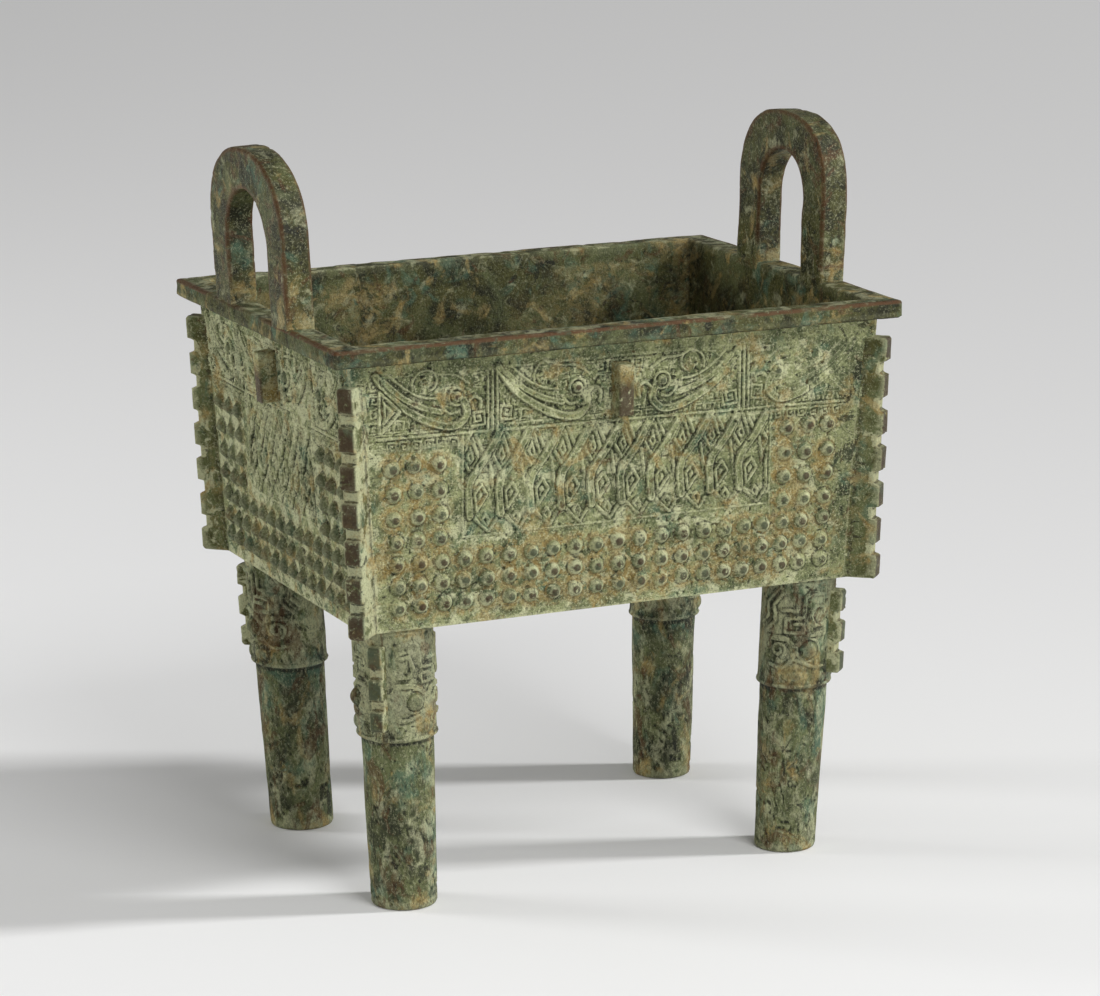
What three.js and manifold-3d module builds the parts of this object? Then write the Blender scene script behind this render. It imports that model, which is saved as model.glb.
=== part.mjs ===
// Square bronze ding: a rectangular food vessel on four round legs, cast in one piece.
// Millimetres, +Z up. The origin is on the ground, under the middle of the vessel.
// +X runs along the long side, and the two upright handles stand over the short sides.

import * as THREE from 'three';
import { mergeGeometries, mergeVertices } from 'three/addons/utils/BufferGeometryUtils.js';
import Module from 'manifold-3d';

const wasm = await Module();
wasm.setup();

// Basin: its outside under the lip, how far each wall leans in down to the floor, and the wall
const bodyTopLength = 197.6;
const bodyTopWidth = 146.4;
const shortWallLean = 5.6;
const longWallLean = 3.9;
const wallHeight = 93.2;
const wallThickness = 3.4;
const floorThickness = 4;

// Lip: a flat band round the mouth that stands out past the walls
const lipLengthOverhang = 6.9;
const lipWidthOverhang = 5.7;
const lipThickness = 6.2;

// Handles: upright arches over the short sides, tipped slightly outwards
const leftHandleWidth = 72;
const rightHandleWidth = 66.4;
const handleHeight = 57.3;
const handleArch = 28.5;
const handleBar = 16.3;
const handleTopBar = 14;
const handleSetback = 0.2;
const handleLean = 2.4;
const handleRoot = 3.5;
const leftHandleShift = 0.8;
const rightHandleShift = -3;

// Legs: round, tapering, with a thicker sleeve under the basin
const legHeight = 101.8;
const legLengthInset = 16.2;
const legWidthInset = 14.6;
const legLean = 3.8;
const sleeveHeight = 40.2;
const sleeveDiameter = 26.6;
const shaftTopDiameter = 24.4;
const footDiameter = 22.4;
const legRoot = 1.5;

// Toothed flanges on the corners, plain ribs on the frieze and small flanges on the legs
const flangeThickness = 6.2;
const flangeEmbed = 0.9;
const flangeTopReach = 5;
const flangeBottomReach = 7.6;
const flangeDrop = 7;
const flangeTeeth = 7;
const notchShare = 0.36;
const notchDepth = 2;
const ribWidth = 6.2;
const ribReach = 6.4;
const ribHeight = 18;
const legFlangeThickness = 5.4;
const legFlangeReach = 4.2;
const legFlangeTeeth = 3;
const legFlangeDrop = 5.5;
const legFlangeHeight = 30;

// Bosses: small cones in a U round the panel
const bossDiameter = 5.6;
const bossHeight = 2.7;
const longBossPitch = 8;
const shortBossPitch = 9;
const longBossMargin = 12.6;
const shortBossMargin = 11.4;
const bossRowPitch = 8.5;
const bossFirstRow = 6.4;
const bossSideColumns = 3;
const bossLowRows = 3;

// The panel starts this share of a boss pitch past the side columns and above the low rows
const panelSideGap = 0.7;
const panelFootGap = 0.95;

// Relief of the frieze, the panel and the leg masks
const friezeHeight = 27.4;
const friezeHeadroom = 5;
const reliefHeight = 0.9;
const reliefSink = 0.7;
const bodyStroke = 2.4;
const lineStroke = 1.3;
const latticeStroke = 1.9;
const latticePitch = 11.2;
const dragonLength = 28;
const eyeDiameter = 4.4;
const eyeHeight = 1.8;
const outerEyeShare = 0.645;
const innerEyeShare = 0.17;
const columnShare = 0.5;
const maskEyeDiameter = 6.4;
const maskEyeHeight = 2;
const maskStroke = 1.7;

// How finely round shapes are cut
const bossSides = 5;
const eyeSides = 6;
const legSides = 16;
const archSteps = 12;
const dragonSteps = 5;

// How far a cutting solid runs past the face it cuts
const cutClearance = 2;

// Worked out from the sizes above
const mouthHeight = legHeight + wallHeight + lipThickness;
const rimLength = bodyTopLength + 2 * lipLengthOverhang;
const rimWidth = bodyTopWidth + 2 * lipWidthOverhang;
const bodyBottomLength = bodyTopLength - 2 * shortWallLean;
const bodyBottomWidth = bodyTopWidth - 2 * longWallLean;
const lengthTaper = shortWallLean / wallHeight;
const widthTaper = longWallLean / wallHeight;
const friezeBase = wallHeight - friezeHeight;
const halfRight = Math.PI / 2;

// Solids

function toSolid(geometry) {
  const bare = geometry.index ? geometry.toNonIndexed() : geometry.clone();
  bare.deleteAttribute('normal');
  bare.deleteAttribute('uv');
  const merged = mergeVertices(bare, 1e-4);
  return new wasm.Manifold(new wasm.Mesh({
    numProp: 3,
    vertProperties: new Float32Array(merged.attributes.position.array),
    triVerts: new Uint32Array(merged.index.array),
  }));
}

function joined(solids) {
  let level = solids;
  while (level.length > 1) {
    const next = [];
    for (let i = 0; i < level.length; i += 2) {
      next.push(i + 1 < level.length ? level[i].add(level[i + 1]) : level[i]);
    }
    level = next;
  }
  return level[0];
}

function toGeometry(solid) {
  const mesh = solid.getMesh();
  const geometry = new THREE.BufferGeometry();
  geometry.setAttribute('position', new THREE.BufferAttribute(mesh.vertProperties, 3));
  geometry.setIndex(new THREE.BufferAttribute(mesh.triVerts, 1));
  return geometry;
}

function taperedBlock(bottomLength, bottomWidth, topLength, topWidth, low, high) {
  const block = new THREE.BoxGeometry(1, 1, 1);
  const place = block.attributes.position;
  for (let i = 0; i < place.count; i += 1) {
    const rise = place.getZ(i) + 0.5;
    place.setXYZ(
      i,
      place.getX(i) * THREE.MathUtils.lerp(bottomLength, topLength, rise),
      place.getY(i) * THREE.MathUtils.lerp(bottomWidth, topWidth, rise),
      THREE.MathUtils.lerp(low, high, rise),
    );
  }
  return block;
}

// A flat outline given thickness, with its face at reliefHeight and its back sunk in the wall
function raised(shape, height = reliefHeight) {
  const slab = new THREE.ExtrudeGeometry(shape, {
    depth: height + reliefSink,
    bevelEnabled: false,
    curveSegments: 1,
  });
  slab.translate(0, 0, -reliefSink);
  return slab;
}

// The outline of a stroke of even width along a line of points
function strokeShape(points, width) {
  const left = [];
  const right = [];
  points.forEach((point, i) => {
    const before = points[Math.max(i - 1, 0)];
    const after = points[Math.min(i + 1, points.length - 1)];
    const into = point.clone().sub(before).normalize();
    const out = after.clone().sub(point).normalize();
    const along = into.add(out).normalize();
    const side = new THREE.Vector2(-along.y, along.x);
    const edge = i === 0 ? out : points[i].clone().sub(before).normalize();
    const mitre = Math.max(side.x * -edge.y + side.y * edge.x, 0.5);
    side.multiplyScalar(width / 2 / mitre);
    left.push(point.clone().add(side));
    right.unshift(point.clone().sub(side));
  });
  return new THREE.Shape([...right.reverse(), ...left.reverse()]);
}

function stroke(points, width, height) {
  return raised(strokeShape(points, width), height);
}

function cone(diameter, height, u, v, sides) {
  const body = new THREE.ConeGeometry(diameter / 2, height + reliefSink, sides);
  body.rotateX(halfRight);
  body.translate(u, v, (height + reliefSink) / 2 - reliefSink);
  return body;
}

// The four faces: u runs along the face, v up the leaning wall, n straight out of it

const faces = [0, 1, 2, 3].map((turn) => {
  const long = turn % 2 === 0;
  const half = (long ? bodyBottomWidth : bodyBottomLength) / 2;
  const lean = Math.atan(long ? widthTaper : lengthTaper);
  const u = new THREE.Vector3(1, 0, 0);
  const v = new THREE.Vector3(0, -Math.sin(lean), Math.cos(lean));
  const n = new THREE.Vector3(0, -Math.cos(lean), -Math.sin(lean));
  const matrix = new THREE.Matrix4().makeBasis(u, v, n);
  matrix.setPosition(0, -half, legHeight);
  matrix.premultiply(new THREE.Matrix4().makeRotationZ(turn * halfRight));
  return {
    matrix,
    length: long ? bodyBottomLength : bodyBottomWidth,
    pitch: long ? longBossPitch : shortBossPitch,
    margin: long ? longBossMargin : shortBossMargin,
  };
});

function bossPlaces(face) {
  const span = face.length - 2 * face.margin;
  const columns = Math.round(span / face.pitch) + 1;
  const step = span / (columns - 1);
  const rows = Math.floor((friezeBase - bossFirstRow) / bossRowPitch) + 1;
  const places = [];
  for (let row = 0; row < rows; row += 1) {
    for (let column = 0; column < columns; column += 1) {
      const fromSide = Math.min(column, columns - 1 - column);
      if (row < bossLowRows || fromSide < bossSideColumns) {
        places.push([-span / 2 + column * step, bossFirstRow + row * bossRowPitch]);
      }
    }
  }
  return places;
}

function bosses(face) {
  return mergeGeometries(bossPlaces(face).map(
    ([u, v]) => cone(bossDiameter, bossHeight, u, v, bossSides),
  ));
}

// Panel of slanted hooks: each repeat is a stem that forks at its top and steps down to a foot
function panelBox(face) {
  const span = face.length - 2 * face.margin;
  const step = span / Math.round(span / face.pitch);
  const halfWidth = span / 2 - (bossSideColumns - 1 + panelSideGap) * step;
  const low = bossFirstRow + (bossLowRows - 1 + panelFootGap) * bossRowPitch;
  return { halfWidth, low, high: friezeBase };
}

function lattice(face) {
  const { halfWidth, low, high } = panelBox(face);
  const repeats = Math.max(Math.round((2 * halfWidth) / latticePitch), 2);
  const pitch = (2 * halfWidth) / repeats;
  const height = high - low;
  const parts = [];
  for (let i = 0; i < repeats; i += 1) {
    const at = (x, y) => new THREE.Vector2(-halfWidth + (i + 0.5 + x) * pitch, low + y * height);
    parts.push(stroke([at(0.44, 0.95), at(-0.44, 0.5), at(-0.42, 0.2)], latticeStroke));
    parts.push(stroke([at(0.2, 0.66), at(0.38, 0.12)], latticeStroke));
  }
  return parts;
}

// Frieze of winged dragons: a body that sweeps down from its tail and curls up under its eye
function dragon(eyeU, length, toRight) {
  const way = toRight ? 1 : -1;
  const at = ([x, y]) => new THREE.Vector2(
    eyeU + way * (x - 1) * length,
    friezeBase + y * (friezeHeight - friezeHeadroom),
  );
  const body = new THREE.SplineCurve([
    [-0.04, 0.94], [0.21, 0.56], [0.61, 0.26], [0.94, 0.15], [1.1, 0.3], [1.08, 0.52],
  ].map(at));
  const wing = [[0.16, 0.82], [0.76, 0.47]].map(at);
  const eye = at([1, 0.58]);
  return [
    stroke(body.getPoints(dragonSteps), bodyStroke),
    stroke(wing, lineStroke),
    cone(eyeDiameter, eyeHeight, eye.x, eye.y, bossSides),
  ];
}

function frieze(face) {
  const top = wallHeight - friezeHeadroom;
  const half = face.length / 2;
  const length = dragonLength * face.length / bodyBottomLength;
  const edge = half - flangeThickness;
  const line = (...ends) => stroke(ends.map(([x, y]) => new THREE.Vector2(x, y)), lineStroke);
  const parts = [
    line([-edge, friezeBase], [edge, friezeBase]),
    line([-edge, top], [edge, top]),
  ];
  [-1, 1].forEach((side) => {
    parts.push(...dragon(side * outerEyeShare * half, length, side < 0));
    parts.push(...dragon(side * innerEyeShare * half, length, side < 0));
    parts.push(line([side * columnShare * half, friezeBase], [side * columnShare * half, top]));
  });
  return parts;
}

function faceRelief(face) {
  const parts = [bosses(face), ...lattice(face), ...frieze(face)];
  return parts.map((part) => toSolid(part.applyMatrix4(face.matrix)));
}

// Toothed edge: up the outer side of a flange, with a notch between each two teeth
function toothedOutline(low, high, reachAt, teeth, root) {
  const pitch = (high - low) / (teeth - notchShare);
  const points = [new THREE.Vector2(-root, low)];
  for (let i = 0; i < teeth; i += 1) {
    const start = low + i * pitch;
    const end = start + pitch * (1 - notchShare);
    points.push(new THREE.Vector2(reachAt(start), start), new THREE.Vector2(reachAt(end), end));
    if (i < teeth - 1) {
      const next = start + pitch;
      points.push(
        new THREE.Vector2(reachAt(end) - notchDepth, end),
        new THREE.Vector2(reachAt(next) - notchDepth, next),
      );
    }
  }
  points.push(new THREE.Vector2(-root, high));
  return new THREE.Shape(points);
}

function extrudedFlange(shape, thickness) {
  const slab = new THREE.ExtrudeGeometry(shape, { depth: thickness, bevelEnabled: false });
  slab.translate(0, 0, -thickness / 2);
  return slab;
}

// Carries a flange outline, out along its x and up along its y, to a line that leans with z
function standOn(geometry, origin, slope, azimuth) {
  const out = new THREE.Vector3(Math.cos(azimuth), Math.sin(azimuth), 0);
  const up = new THREE.Vector3(slope.x, slope.y, 1);
  const across = new THREE.Vector3(Math.sin(azimuth), -Math.cos(azimuth), 0);
  const matrix = new THREE.Matrix4().makeBasis(out, up, across);
  matrix.setPosition(origin.x, origin.y, origin.z);
  return geometry.applyMatrix4(matrix);
}

const corners = [[1, 1], [-1, 1], [-1, -1], [1, -1]];

function cornerFlanges() {
  const high = wallHeight - flangeDrop;
  const reachAt = (z) => THREE.MathUtils.lerp(flangeBottomReach, flangeTopReach, z / high);
  const root = flangeThickness / 2 + flangeEmbed;
  return corners.map(([x, y]) => {
    const shape = toothedOutline(0, high, reachAt, flangeTeeth, root);
    const foot = new THREE.Vector3(x * bodyBottomLength / 2, y * bodyBottomWidth / 2, legHeight);
    const slope = new THREE.Vector2(x * lengthTaper, y * widthTaper);
    return toSolid(standOn(extrudedFlange(shape, flangeThickness), foot, slope, Math.atan2(y, x)));
  });
}

function friezeRibs() {
  const high = wallHeight - flangeDrop;
  return faces.map((face) => {
    const rib = new THREE.Shape([
      new THREE.Vector2(-ribWidth / 2, high - ribHeight),
      new THREE.Vector2(ribWidth / 2, high - ribHeight),
      new THREE.Vector2(ribWidth / 2, high),
      new THREE.Vector2(-ribWidth / 2, high),
    ]);
    return toSolid(raised(rib, ribReach).applyMatrix4(face.matrix));
  });
}

// Legs

function legRound() {
  const sleeveBase = legHeight - sleeveHeight;
  const profile = [
    [0, 0],
    [footDiameter / 2, 0],
    [shaftTopDiameter / 2, sleeveBase],
    [sleeveDiameter / 2, sleeveBase],
    [sleeveDiameter / 2, legHeight + legRoot],
    [0, legHeight + legRoot],
  ].map(([r, z]) => new THREE.Vector2(r, z));
  return new THREE.LatheGeometry(profile, legSides).rotateX(halfRight);
}

// Bends a flat piece of relief round the sleeve, its x along the arc from the leg's outer side
function wrapped(geometry, azimuth, base) {
  const place = geometry.attributes.position;
  const radius = sleeveDiameter / 2 * Math.cos(Math.PI / legSides);
  for (let i = 0; i < place.count; i += 1) {
    const angle = azimuth + place.getX(i) / radius;
    const reach = radius + place.getZ(i);
    place.setXYZ(i, reach * Math.cos(angle), reach * Math.sin(angle), base + place.getY(i));
  }
  return geometry;
}

// Animal mask: a horn that curls round each brow, a round eye and a jaw above the sleeve's edge
function mask(azimuth) {
  const base = legHeight - sleeveHeight;
  const parts = [];
  [-1, 1].forEach((side) => {
    const at = (x, y) => new THREE.Vector2(side * x * sleeveDiameter, y * sleeveHeight);
    const eye = at(0.45, 0.35);
    parts.push(stroke([
      at(0.3, 0.54), at(0.78, 0.56), at(0.78, 0.84), at(0.48, 0.84), at(0.48, 0.69),
    ], maskStroke));
    parts.push(stroke([at(0.26, 0.12), at(0.7, 0.18)], maskStroke));
    parts.push(cone(maskEyeDiameter, maskEyeHeight, eye.x, eye.y, eyeSides));
  });
  return parts.map((part) => wrapped(part, azimuth, base));
}

function leg([x, y]) {
  const azimuth = Math.atan2(y, x);
  const high = legHeight - legFlangeDrop;
  const flange = toothedOutline(
    high - legFlangeHeight, high, () => legFlangeReach, legFlangeTeeth, legFlangeThickness / 2,
  );
  const foot = new THREE.Vector3(
    sleeveDiameter / 2 * Math.cos(azimuth), sleeveDiameter / 2 * Math.sin(azimuth), 0,
  );
  const flangeSolid = standOn(
    extrudedFlange(flange, legFlangeThickness), foot, new THREE.Vector2(0, 0), azimuth,
  );
  const topX = x * (bodyBottomLength / 2 - legLengthInset);
  const topY = y * (bodyBottomWidth / 2 - legWidthInset);
  const lean = new THREE.Matrix4().makeBasis(
    new THREE.Vector3(1, 0, 0),
    new THREE.Vector3(0, 1, 0),
    new THREE.Vector3(x * legLean / legHeight, y * legLean / legHeight, 1),
  );
  lean.setPosition(topX - x * legLean, topY - y * legLean, 0);
  const pieces = [legRound(), flangeSolid, ...mask(azimuth)];
  return joined(pieces.map((piece) => toSolid(piece.applyMatrix4(lean))));
}

// Handles

function archPath(path, halfWidth, low, spring, top) {
  path.moveTo(-halfWidth, low);
  path.lineTo(halfWidth, low);
  path.lineTo(halfWidth, spring);
  for (let i = 1; i < archSteps; i += 1) {
    const turn = (i / archSteps) * Math.PI;
    path.lineTo(halfWidth * Math.cos(turn), spring + (top - spring) * Math.sin(turn));
  }
  path.lineTo(-halfWidth, spring);
  path.closePath();
  return path;
}

function handle(side, width, shift) {
  const breadth = (rimLength - bodyTopLength) / 2 + wallThickness - 2 * handleSetback;
  const spring = handleHeight - handleArch;
  const halfWidth = width / 2;
  const opening = halfWidth - handleBar;
  const shape = archPath(new THREE.Shape(), halfWidth, -handleRoot, spring, handleHeight);
  const loopTop = handleHeight - handleTopBar;
  const loopSpring = loopTop - opening;
  shape.holes.push(archPath(new THREE.Path(), opening, 0, loopSpring, loopTop));
  const arch = new THREE.ExtrudeGeometry(shape, { depth: breadth, bevelEnabled: false });
  arch.translate(0, 0, -breadth);
  arch.applyMatrix4(new THREE.Matrix4().makeBasis(
    new THREE.Vector3(0, 1, 0), new THREE.Vector3(0, 0, 1), new THREE.Vector3(1, 0, 0),
  ));
  arch.rotateY(THREE.MathUtils.degToRad(handleLean));
  arch.translate(rimLength / 2 - handleSetback, 0, mouthHeight);
  if (side < 0) arch.rotateZ(Math.PI);
  arch.translate(0, shift, 0);
  return toSolid(arch);
}

// The whole casting

function basinOutside() {
  const walls = taperedBlock(
    bodyBottomLength, bodyBottomWidth, bodyTopLength, bodyTopWidth, legHeight, legHeight + wallHeight,
  );
  const lip = new THREE.BoxGeometry(rimLength, rimWidth, lipThickness);
  lip.translate(0, 0, mouthHeight - lipThickness / 2);
  return toSolid(walls).add(toSolid(lip));
}

function basinInside() {
  const low = legHeight + floorThickness;
  const sizeAt = (bottom, taper, z) => bottom - 2 * wallThickness + 2 * taper * (z - legHeight);
  return toSolid(taperedBlock(
    sizeAt(bodyBottomLength, lengthTaper, low),
    sizeAt(bodyBottomWidth, widthTaper, low),
    sizeAt(bodyTopLength, lengthTaper, legHeight),
    sizeAt(bodyTopWidth, widthTaper, legHeight),
    low,
    mouthHeight + cutClearance,
  ));
}

const outside = joined([
  basinOutside(),
  ...cornerFlanges(),
  ...friezeRibs(),
  ...corners.map(leg),
  ...faces.flatMap(faceRelief),
]);
const casting = outside
  .subtract(basinInside())
  .add(handle(1, rightHandleWidth, rightHandleShift))
  .add(handle(-1, leftHandleWidth, leftHandleShift));

const bronze = new THREE.MeshStandardMaterial({ color: '#6f765a', roughness: 0.78, metalness: 0.35 });
const ding = new THREE.Mesh(toGeometry(casting), bronze);
ding.name = 'square_ding';

const group = new THREE.Group();
group.add(ding);
export default group;
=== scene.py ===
import math
from statistics import NormalDist

import bmesh
import bpy
import numpy as np
from mathutils import Matrix, Vector


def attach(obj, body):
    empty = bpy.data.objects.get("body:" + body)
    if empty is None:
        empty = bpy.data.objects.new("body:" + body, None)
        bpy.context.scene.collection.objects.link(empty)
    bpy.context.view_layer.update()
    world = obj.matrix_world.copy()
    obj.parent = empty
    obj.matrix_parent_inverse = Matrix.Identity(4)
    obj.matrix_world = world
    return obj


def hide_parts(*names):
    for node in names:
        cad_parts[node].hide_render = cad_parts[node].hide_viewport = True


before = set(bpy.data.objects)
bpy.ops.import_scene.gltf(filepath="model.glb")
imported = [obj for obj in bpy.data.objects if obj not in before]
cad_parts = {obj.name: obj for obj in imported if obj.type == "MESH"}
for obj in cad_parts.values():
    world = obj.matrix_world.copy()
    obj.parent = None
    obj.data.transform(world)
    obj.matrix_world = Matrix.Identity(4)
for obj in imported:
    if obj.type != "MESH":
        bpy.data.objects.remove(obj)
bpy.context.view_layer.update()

bl_info = {
    "name": "Square bronze ding",
    "version": (1, 0, 0),
    "blender": (4, 5, 0),
    "location": "3D View > Sidebar > Ding",
    "description": "Dresses the cast vessel with carved walls, masks, wear and patina",
    "category": "Add Mesh",
}

NODE = "square_ding"
BODY = "root"
MM = 0.001

# Places of the mix node's colour sockets
MIX_FACTOR, MIX_A, MIX_B, MIX_RESULT = 0, 6, 7, 2

# The picture's width in pixels, and its camera: where it stands, how it is turned and its focal length
IMAGE_WIDTH = 1100
CAMERA_PLACE = Vector((-0.59104, -1.34679, 0.46456))
CAMERA_YAW = math.radians(24.452)
CAMERA_DOWN = math.radians(13.022)
CAMERA_ROLL = math.radians(-0.486)
FOCAL_LENGTH = 138.04
SENSOR_WIDTH = 36
SHIFT_RIGHT_PIXELS = -39.29
SHIFT_UP_PIXELS = 1.78


def length(metres, name, about):
    """A size in metres that a user can set."""
    return bpy.props.FloatProperty(
        name=name, description=about, default=metres, unit="LENGTH", precision=4)


def linear(code):
    """Linear red, green and blue of an sRGB hex colour."""
    parts = [int(code[i:i + 2], 16) / 255 for i in (1, 3, 5)]
    return tuple(c / 12.92 if c <= 0.04045 else ((c + 0.055) / 1.055) ** 2.4 for c in parts)


def tint(code, name, about):
    """A colour that a user can set, given as sRGB hex."""
    return bpy.props.FloatVectorProperty(
        name=name, description=about, default=linear(code), subtype="COLOR", size=3, min=0, max=1)


class DingSizes(bpy.types.PropertyGroup):
    """Sizes of the casting, which follow the CAD model."""

    top_length: length(0.1976, "Basin length", "Outside of the basin under the lip, along X")
    top_width: length(0.1464, "Basin width", "Outside of the basin under the lip, along Y")
    short_lean: length(0.0056, "Short wall lean", "How far a short wall leans in down to the floor")
    long_lean: length(0.0039, "Long wall lean", "How far a long wall leans in down to the floor")
    wall_height: length(0.0932, "Wall height", "From the underside of the basin to the lip")
    wall: length(0.0034, "Wall", "Thickness of the basin's walls")
    floor: length(0.004, "Floor", "Thickness of the basin's floor")
    leg_height: length(0.1018, "Leg height", "From the ground to the underside of the basin")
    lip_length_overhang: length(0.0069, "Lip overhang at the ends", "How far the lip passes a short wall")
    lip_width_overhang: length(0.0057, "Lip overhang in front", "How far the lip passes a long wall")
    lip: length(0.0062, "Lip", "Thickness of the lip")
    left_handle_width: length(0.072, "Left handle width", "Outside of the left handle, along Y")
    right_handle_width: length(0.0664, "Right handle width", "Outside of the right handle, along Y")
    handle_height: length(0.0573, "Handle height", "From the lip to the top of a handle")
    handle_arch: length(0.0285, "Handle arch", "Rise of a handle's outer arch")
    handle_bar: length(0.0163, "Handle bar", "Width of a handle's side bars")
    handle_top_bar: length(0.014, "Handle top bar", "Height of a handle's bar at its top")
    left_handle_shift: length(0.0008, "Left handle shift", "How far it sits off the wall's middle")
    right_handle_shift: length(-0.003, "Right handle shift", "How far it sits off the wall's middle")
    leg_inset_x: length(0.0162, "Leg inset along X", "From a short wall to a leg's middle")
    leg_inset_y: length(0.0146, "Leg inset along Y", "From a long wall to a leg's middle")
    leg_lean: length(0.0038, "Leg lean", "How far a foot stands in from the top of its leg")
    sleeve_height: length(0.0402, "Sleeve height", "Height of the thick upper part of a leg")
    sleeve_diameter: length(0.0266, "Sleeve diameter", "Diameter of the thick upper part of a leg")
    shaft_diameter: length(0.0244, "Shaft diameter", "Diameter of a leg under its sleeve")
    foot_diameter: length(0.0224, "Foot diameter", "Diameter of a leg on the ground")
    flange: length(0.0062, "Flange", "Thickness of a corner flange")
    flange_top_reach: length(0.005, "Flange reach at the top", "How far a corner flange stands out")
    flange_bottom_reach: length(0.0076, "Flange reach at the foot", "How far a corner flange stands out")
    flange_drop: length(0.007, "Flange drop", "From the lip down to a corner flange")
    notch: length(0.002, "Notch", "Depth of the notches between a flange's teeth")
    rib_width: length(0.0062, "Rib width", "Width of the plain rib in the middle of each frieze")
    rib_reach: length(0.0064, "Rib reach", "How far a rib stands out")
    rib_height: length(0.018, "Rib height", "Height of a rib")
    leg_flange: length(0.0054, "Leg flange", "Thickness of the small flange on each leg")
    leg_flange_reach: length(0.0042, "Leg flange reach", "How far the small flange stands out")
    leg_flange_drop: length(0.0055, "Leg flange drop", "From the basin down to the small flange")
    leg_flange_height: length(0.03, "Leg flange height", "Height of the small flange")
    boss: length(0.006, "Boss", "Diameter of a boss")
    boss_height: length(0.0027, "Boss height", "How far a boss stands out")
    frieze: length(0.0274, "Frieze", "Height of the band of dragons")


class DingColours(bpy.types.PropertyGroup):
    """Colours of the patina, the wear and the dirt."""

    pale: tint("#d2d3aa", "Pale crust", "Dry verdigris on the relief")
    wall_light: tint("#999e70", "Wall, light", "The carved walls' patina at its palest")
    wall_dark: tint("#596141", "Wall, dark", "The carved walls' patina at its darkest")
    limb_light: tint("#656b45", "Legs, light", "The legs' patina at its palest")
    limb_dark: tint("#313521", "Legs, dark", "The legs' patina at its darkest")
    smooth_light: tint("#4b4b25", "Handles and lip, light", "The smooth parts' patina at its palest")
    smooth_dark: tint("#232410", "Handles and lip, dark", "The smooth parts' patina at its darkest")
    deep: tint("#191b14", "Deep", "Almost black patina in the pits")
    moss: tint("#69714a", "Moss", "Warm green bloom")
    teal: tint("#527460", "Teal", "Cold green bloom")
    tarnish: tint("#464d38", "Tarnish", "Grey-green skin on worn metal")
    earth: tint("#a89562", "Earth", "Tan earth left in the hollows")
    ochre: tint("#8f763c", "Ochre", "Rusty earth where it lies thickest")
    rust: tint("#56381f", "Rust", "Red-brown cuprite along edges and seams")
    bronze: tint("#3d2c1c", "Bronze", "Worn metal on the high points")
    paper: tint("#eeeeee", "Floor", "The pale studio floor")


def mm(name):
    """A size of the casting in millimetres."""
    return getattr(bpy.context.scene.ding_sizes, name) / MM


def shade(name):
    """A colour of the patina with alpha."""
    return (*getattr(bpy.context.scene.ding_colours, name), 1.0)


# Noise and small shaping functions on arrays


def lattice_random(x, y, z, seed):
    """A repeatable number from 0 to 1 for each whole-number place."""
    n = (x * 73856093) ^ (y * 19349663) ^ (z * 83492791) ^ (seed * 2654435761)
    n = ((n ^ (n >> 13)) * 1274126177) & 0xFFFFFFFF
    n = ((n ^ (n >> 15)) * 2246822519) & 0xFFFFFFFF
    return ((n ^ (n >> 16)) & 0xFFFFFF) / 0xFFFFFF


def noise(points, size, seed):
    """Smooth noise from -1 to 1, with features of this size in millimetres."""
    place = points / size
    cell = np.floor(place).astype(np.int64)
    part = place - cell
    part = part * part * (3 - 2 * part)
    total = np.zeros(len(points))
    for dx in (0, 1):
        for dy in (0, 1):
            for dz in (0, 1):
                weight = np.abs(1 - dx - part[:, 0]) * np.abs(1 - dy - part[:, 1])
                weight = weight * np.abs(1 - dz - part[:, 2])
                x, y, z = cell[:, 0] + dx, cell[:, 1] + dy, cell[:, 2] + dz
                total += weight * lattice_random(x, y, z, seed)
    return total * 2 - 1


def ease(value, low, high):
    """0 below low, 1 above high and a smooth rise between."""
    x = np.clip((value - low) / (high - low), 0, 1)
    return x * x * (3 - 2 * x)


def on_stroke(distance, width, soft):
    """1 on a stroke of this width, falling to 0 over a soft edge."""
    return 1 - ease(distance, width / 2 - soft / 2, width / 2 + soft / 2)


# Meshes


def tube(around, along):
    """A closed cylinder of rings, to be carried onto a piece."""
    bm = bmesh.new()
    bmesh.ops.create_cone(bm, cap_ends=True, segments=around, radius1=1, radius2=1, depth=1)
    uprights = [e for e in bm.edges if abs(e.verts[0].co.z - e.verts[1].co.z) > 0.5]
    bmesh.ops.subdivide_edges(bm, edges=uprights, cuts=along - 1, use_grid_fill=True)
    return bm


def slab(columns, rows):
    """A flat sheet with a back and closed sides, at height 0 and -1."""
    bm = bmesh.new()
    bmesh.ops.create_grid(bm, x_segments=columns, y_segments=rows, size=0.5)
    border = [e for e in bm.edges if e.is_boundary]
    grown = bmesh.ops.extrude_edge_only(bm, edges=border)["geom"]
    low = [g for g in grown if isinstance(g, bmesh.types.BMVert)]
    bmesh.ops.translate(bm, verts=low, vec=(0, 0, -1))
    rim = [g for g in grown if isinstance(g, bmesh.types.BMEdge) and g.is_boundary]
    bmesh.ops.edgeloop_fill(bm, edges=rim)
    return bm


def places(mesh):
    """The mesh's points as an array."""
    flat = np.empty(len(mesh.vertices) * 3)
    mesh.vertices.foreach_get("co", flat)
    return flat.reshape(-1, 3)


def put(mesh, points):
    """Moves the mesh's points to an array of millimetres."""
    mesh.vertices.foreach_set("co", (points * MM).ravel())
    mesh.update()


def ring_numbers(mesh, around, along):
    """Each point's place in a tube: its number round the ring and its ring's number."""
    p = places(mesh)
    angle = np.arctan2(p[:, 1], p[:, 0])
    turn = np.rint((angle - angle[0]) / (2 * math.pi / around)).astype(int) % around
    ring = np.rint((p[:, 2] + 0.5) * along).astype(int)
    return turn, ring


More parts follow.
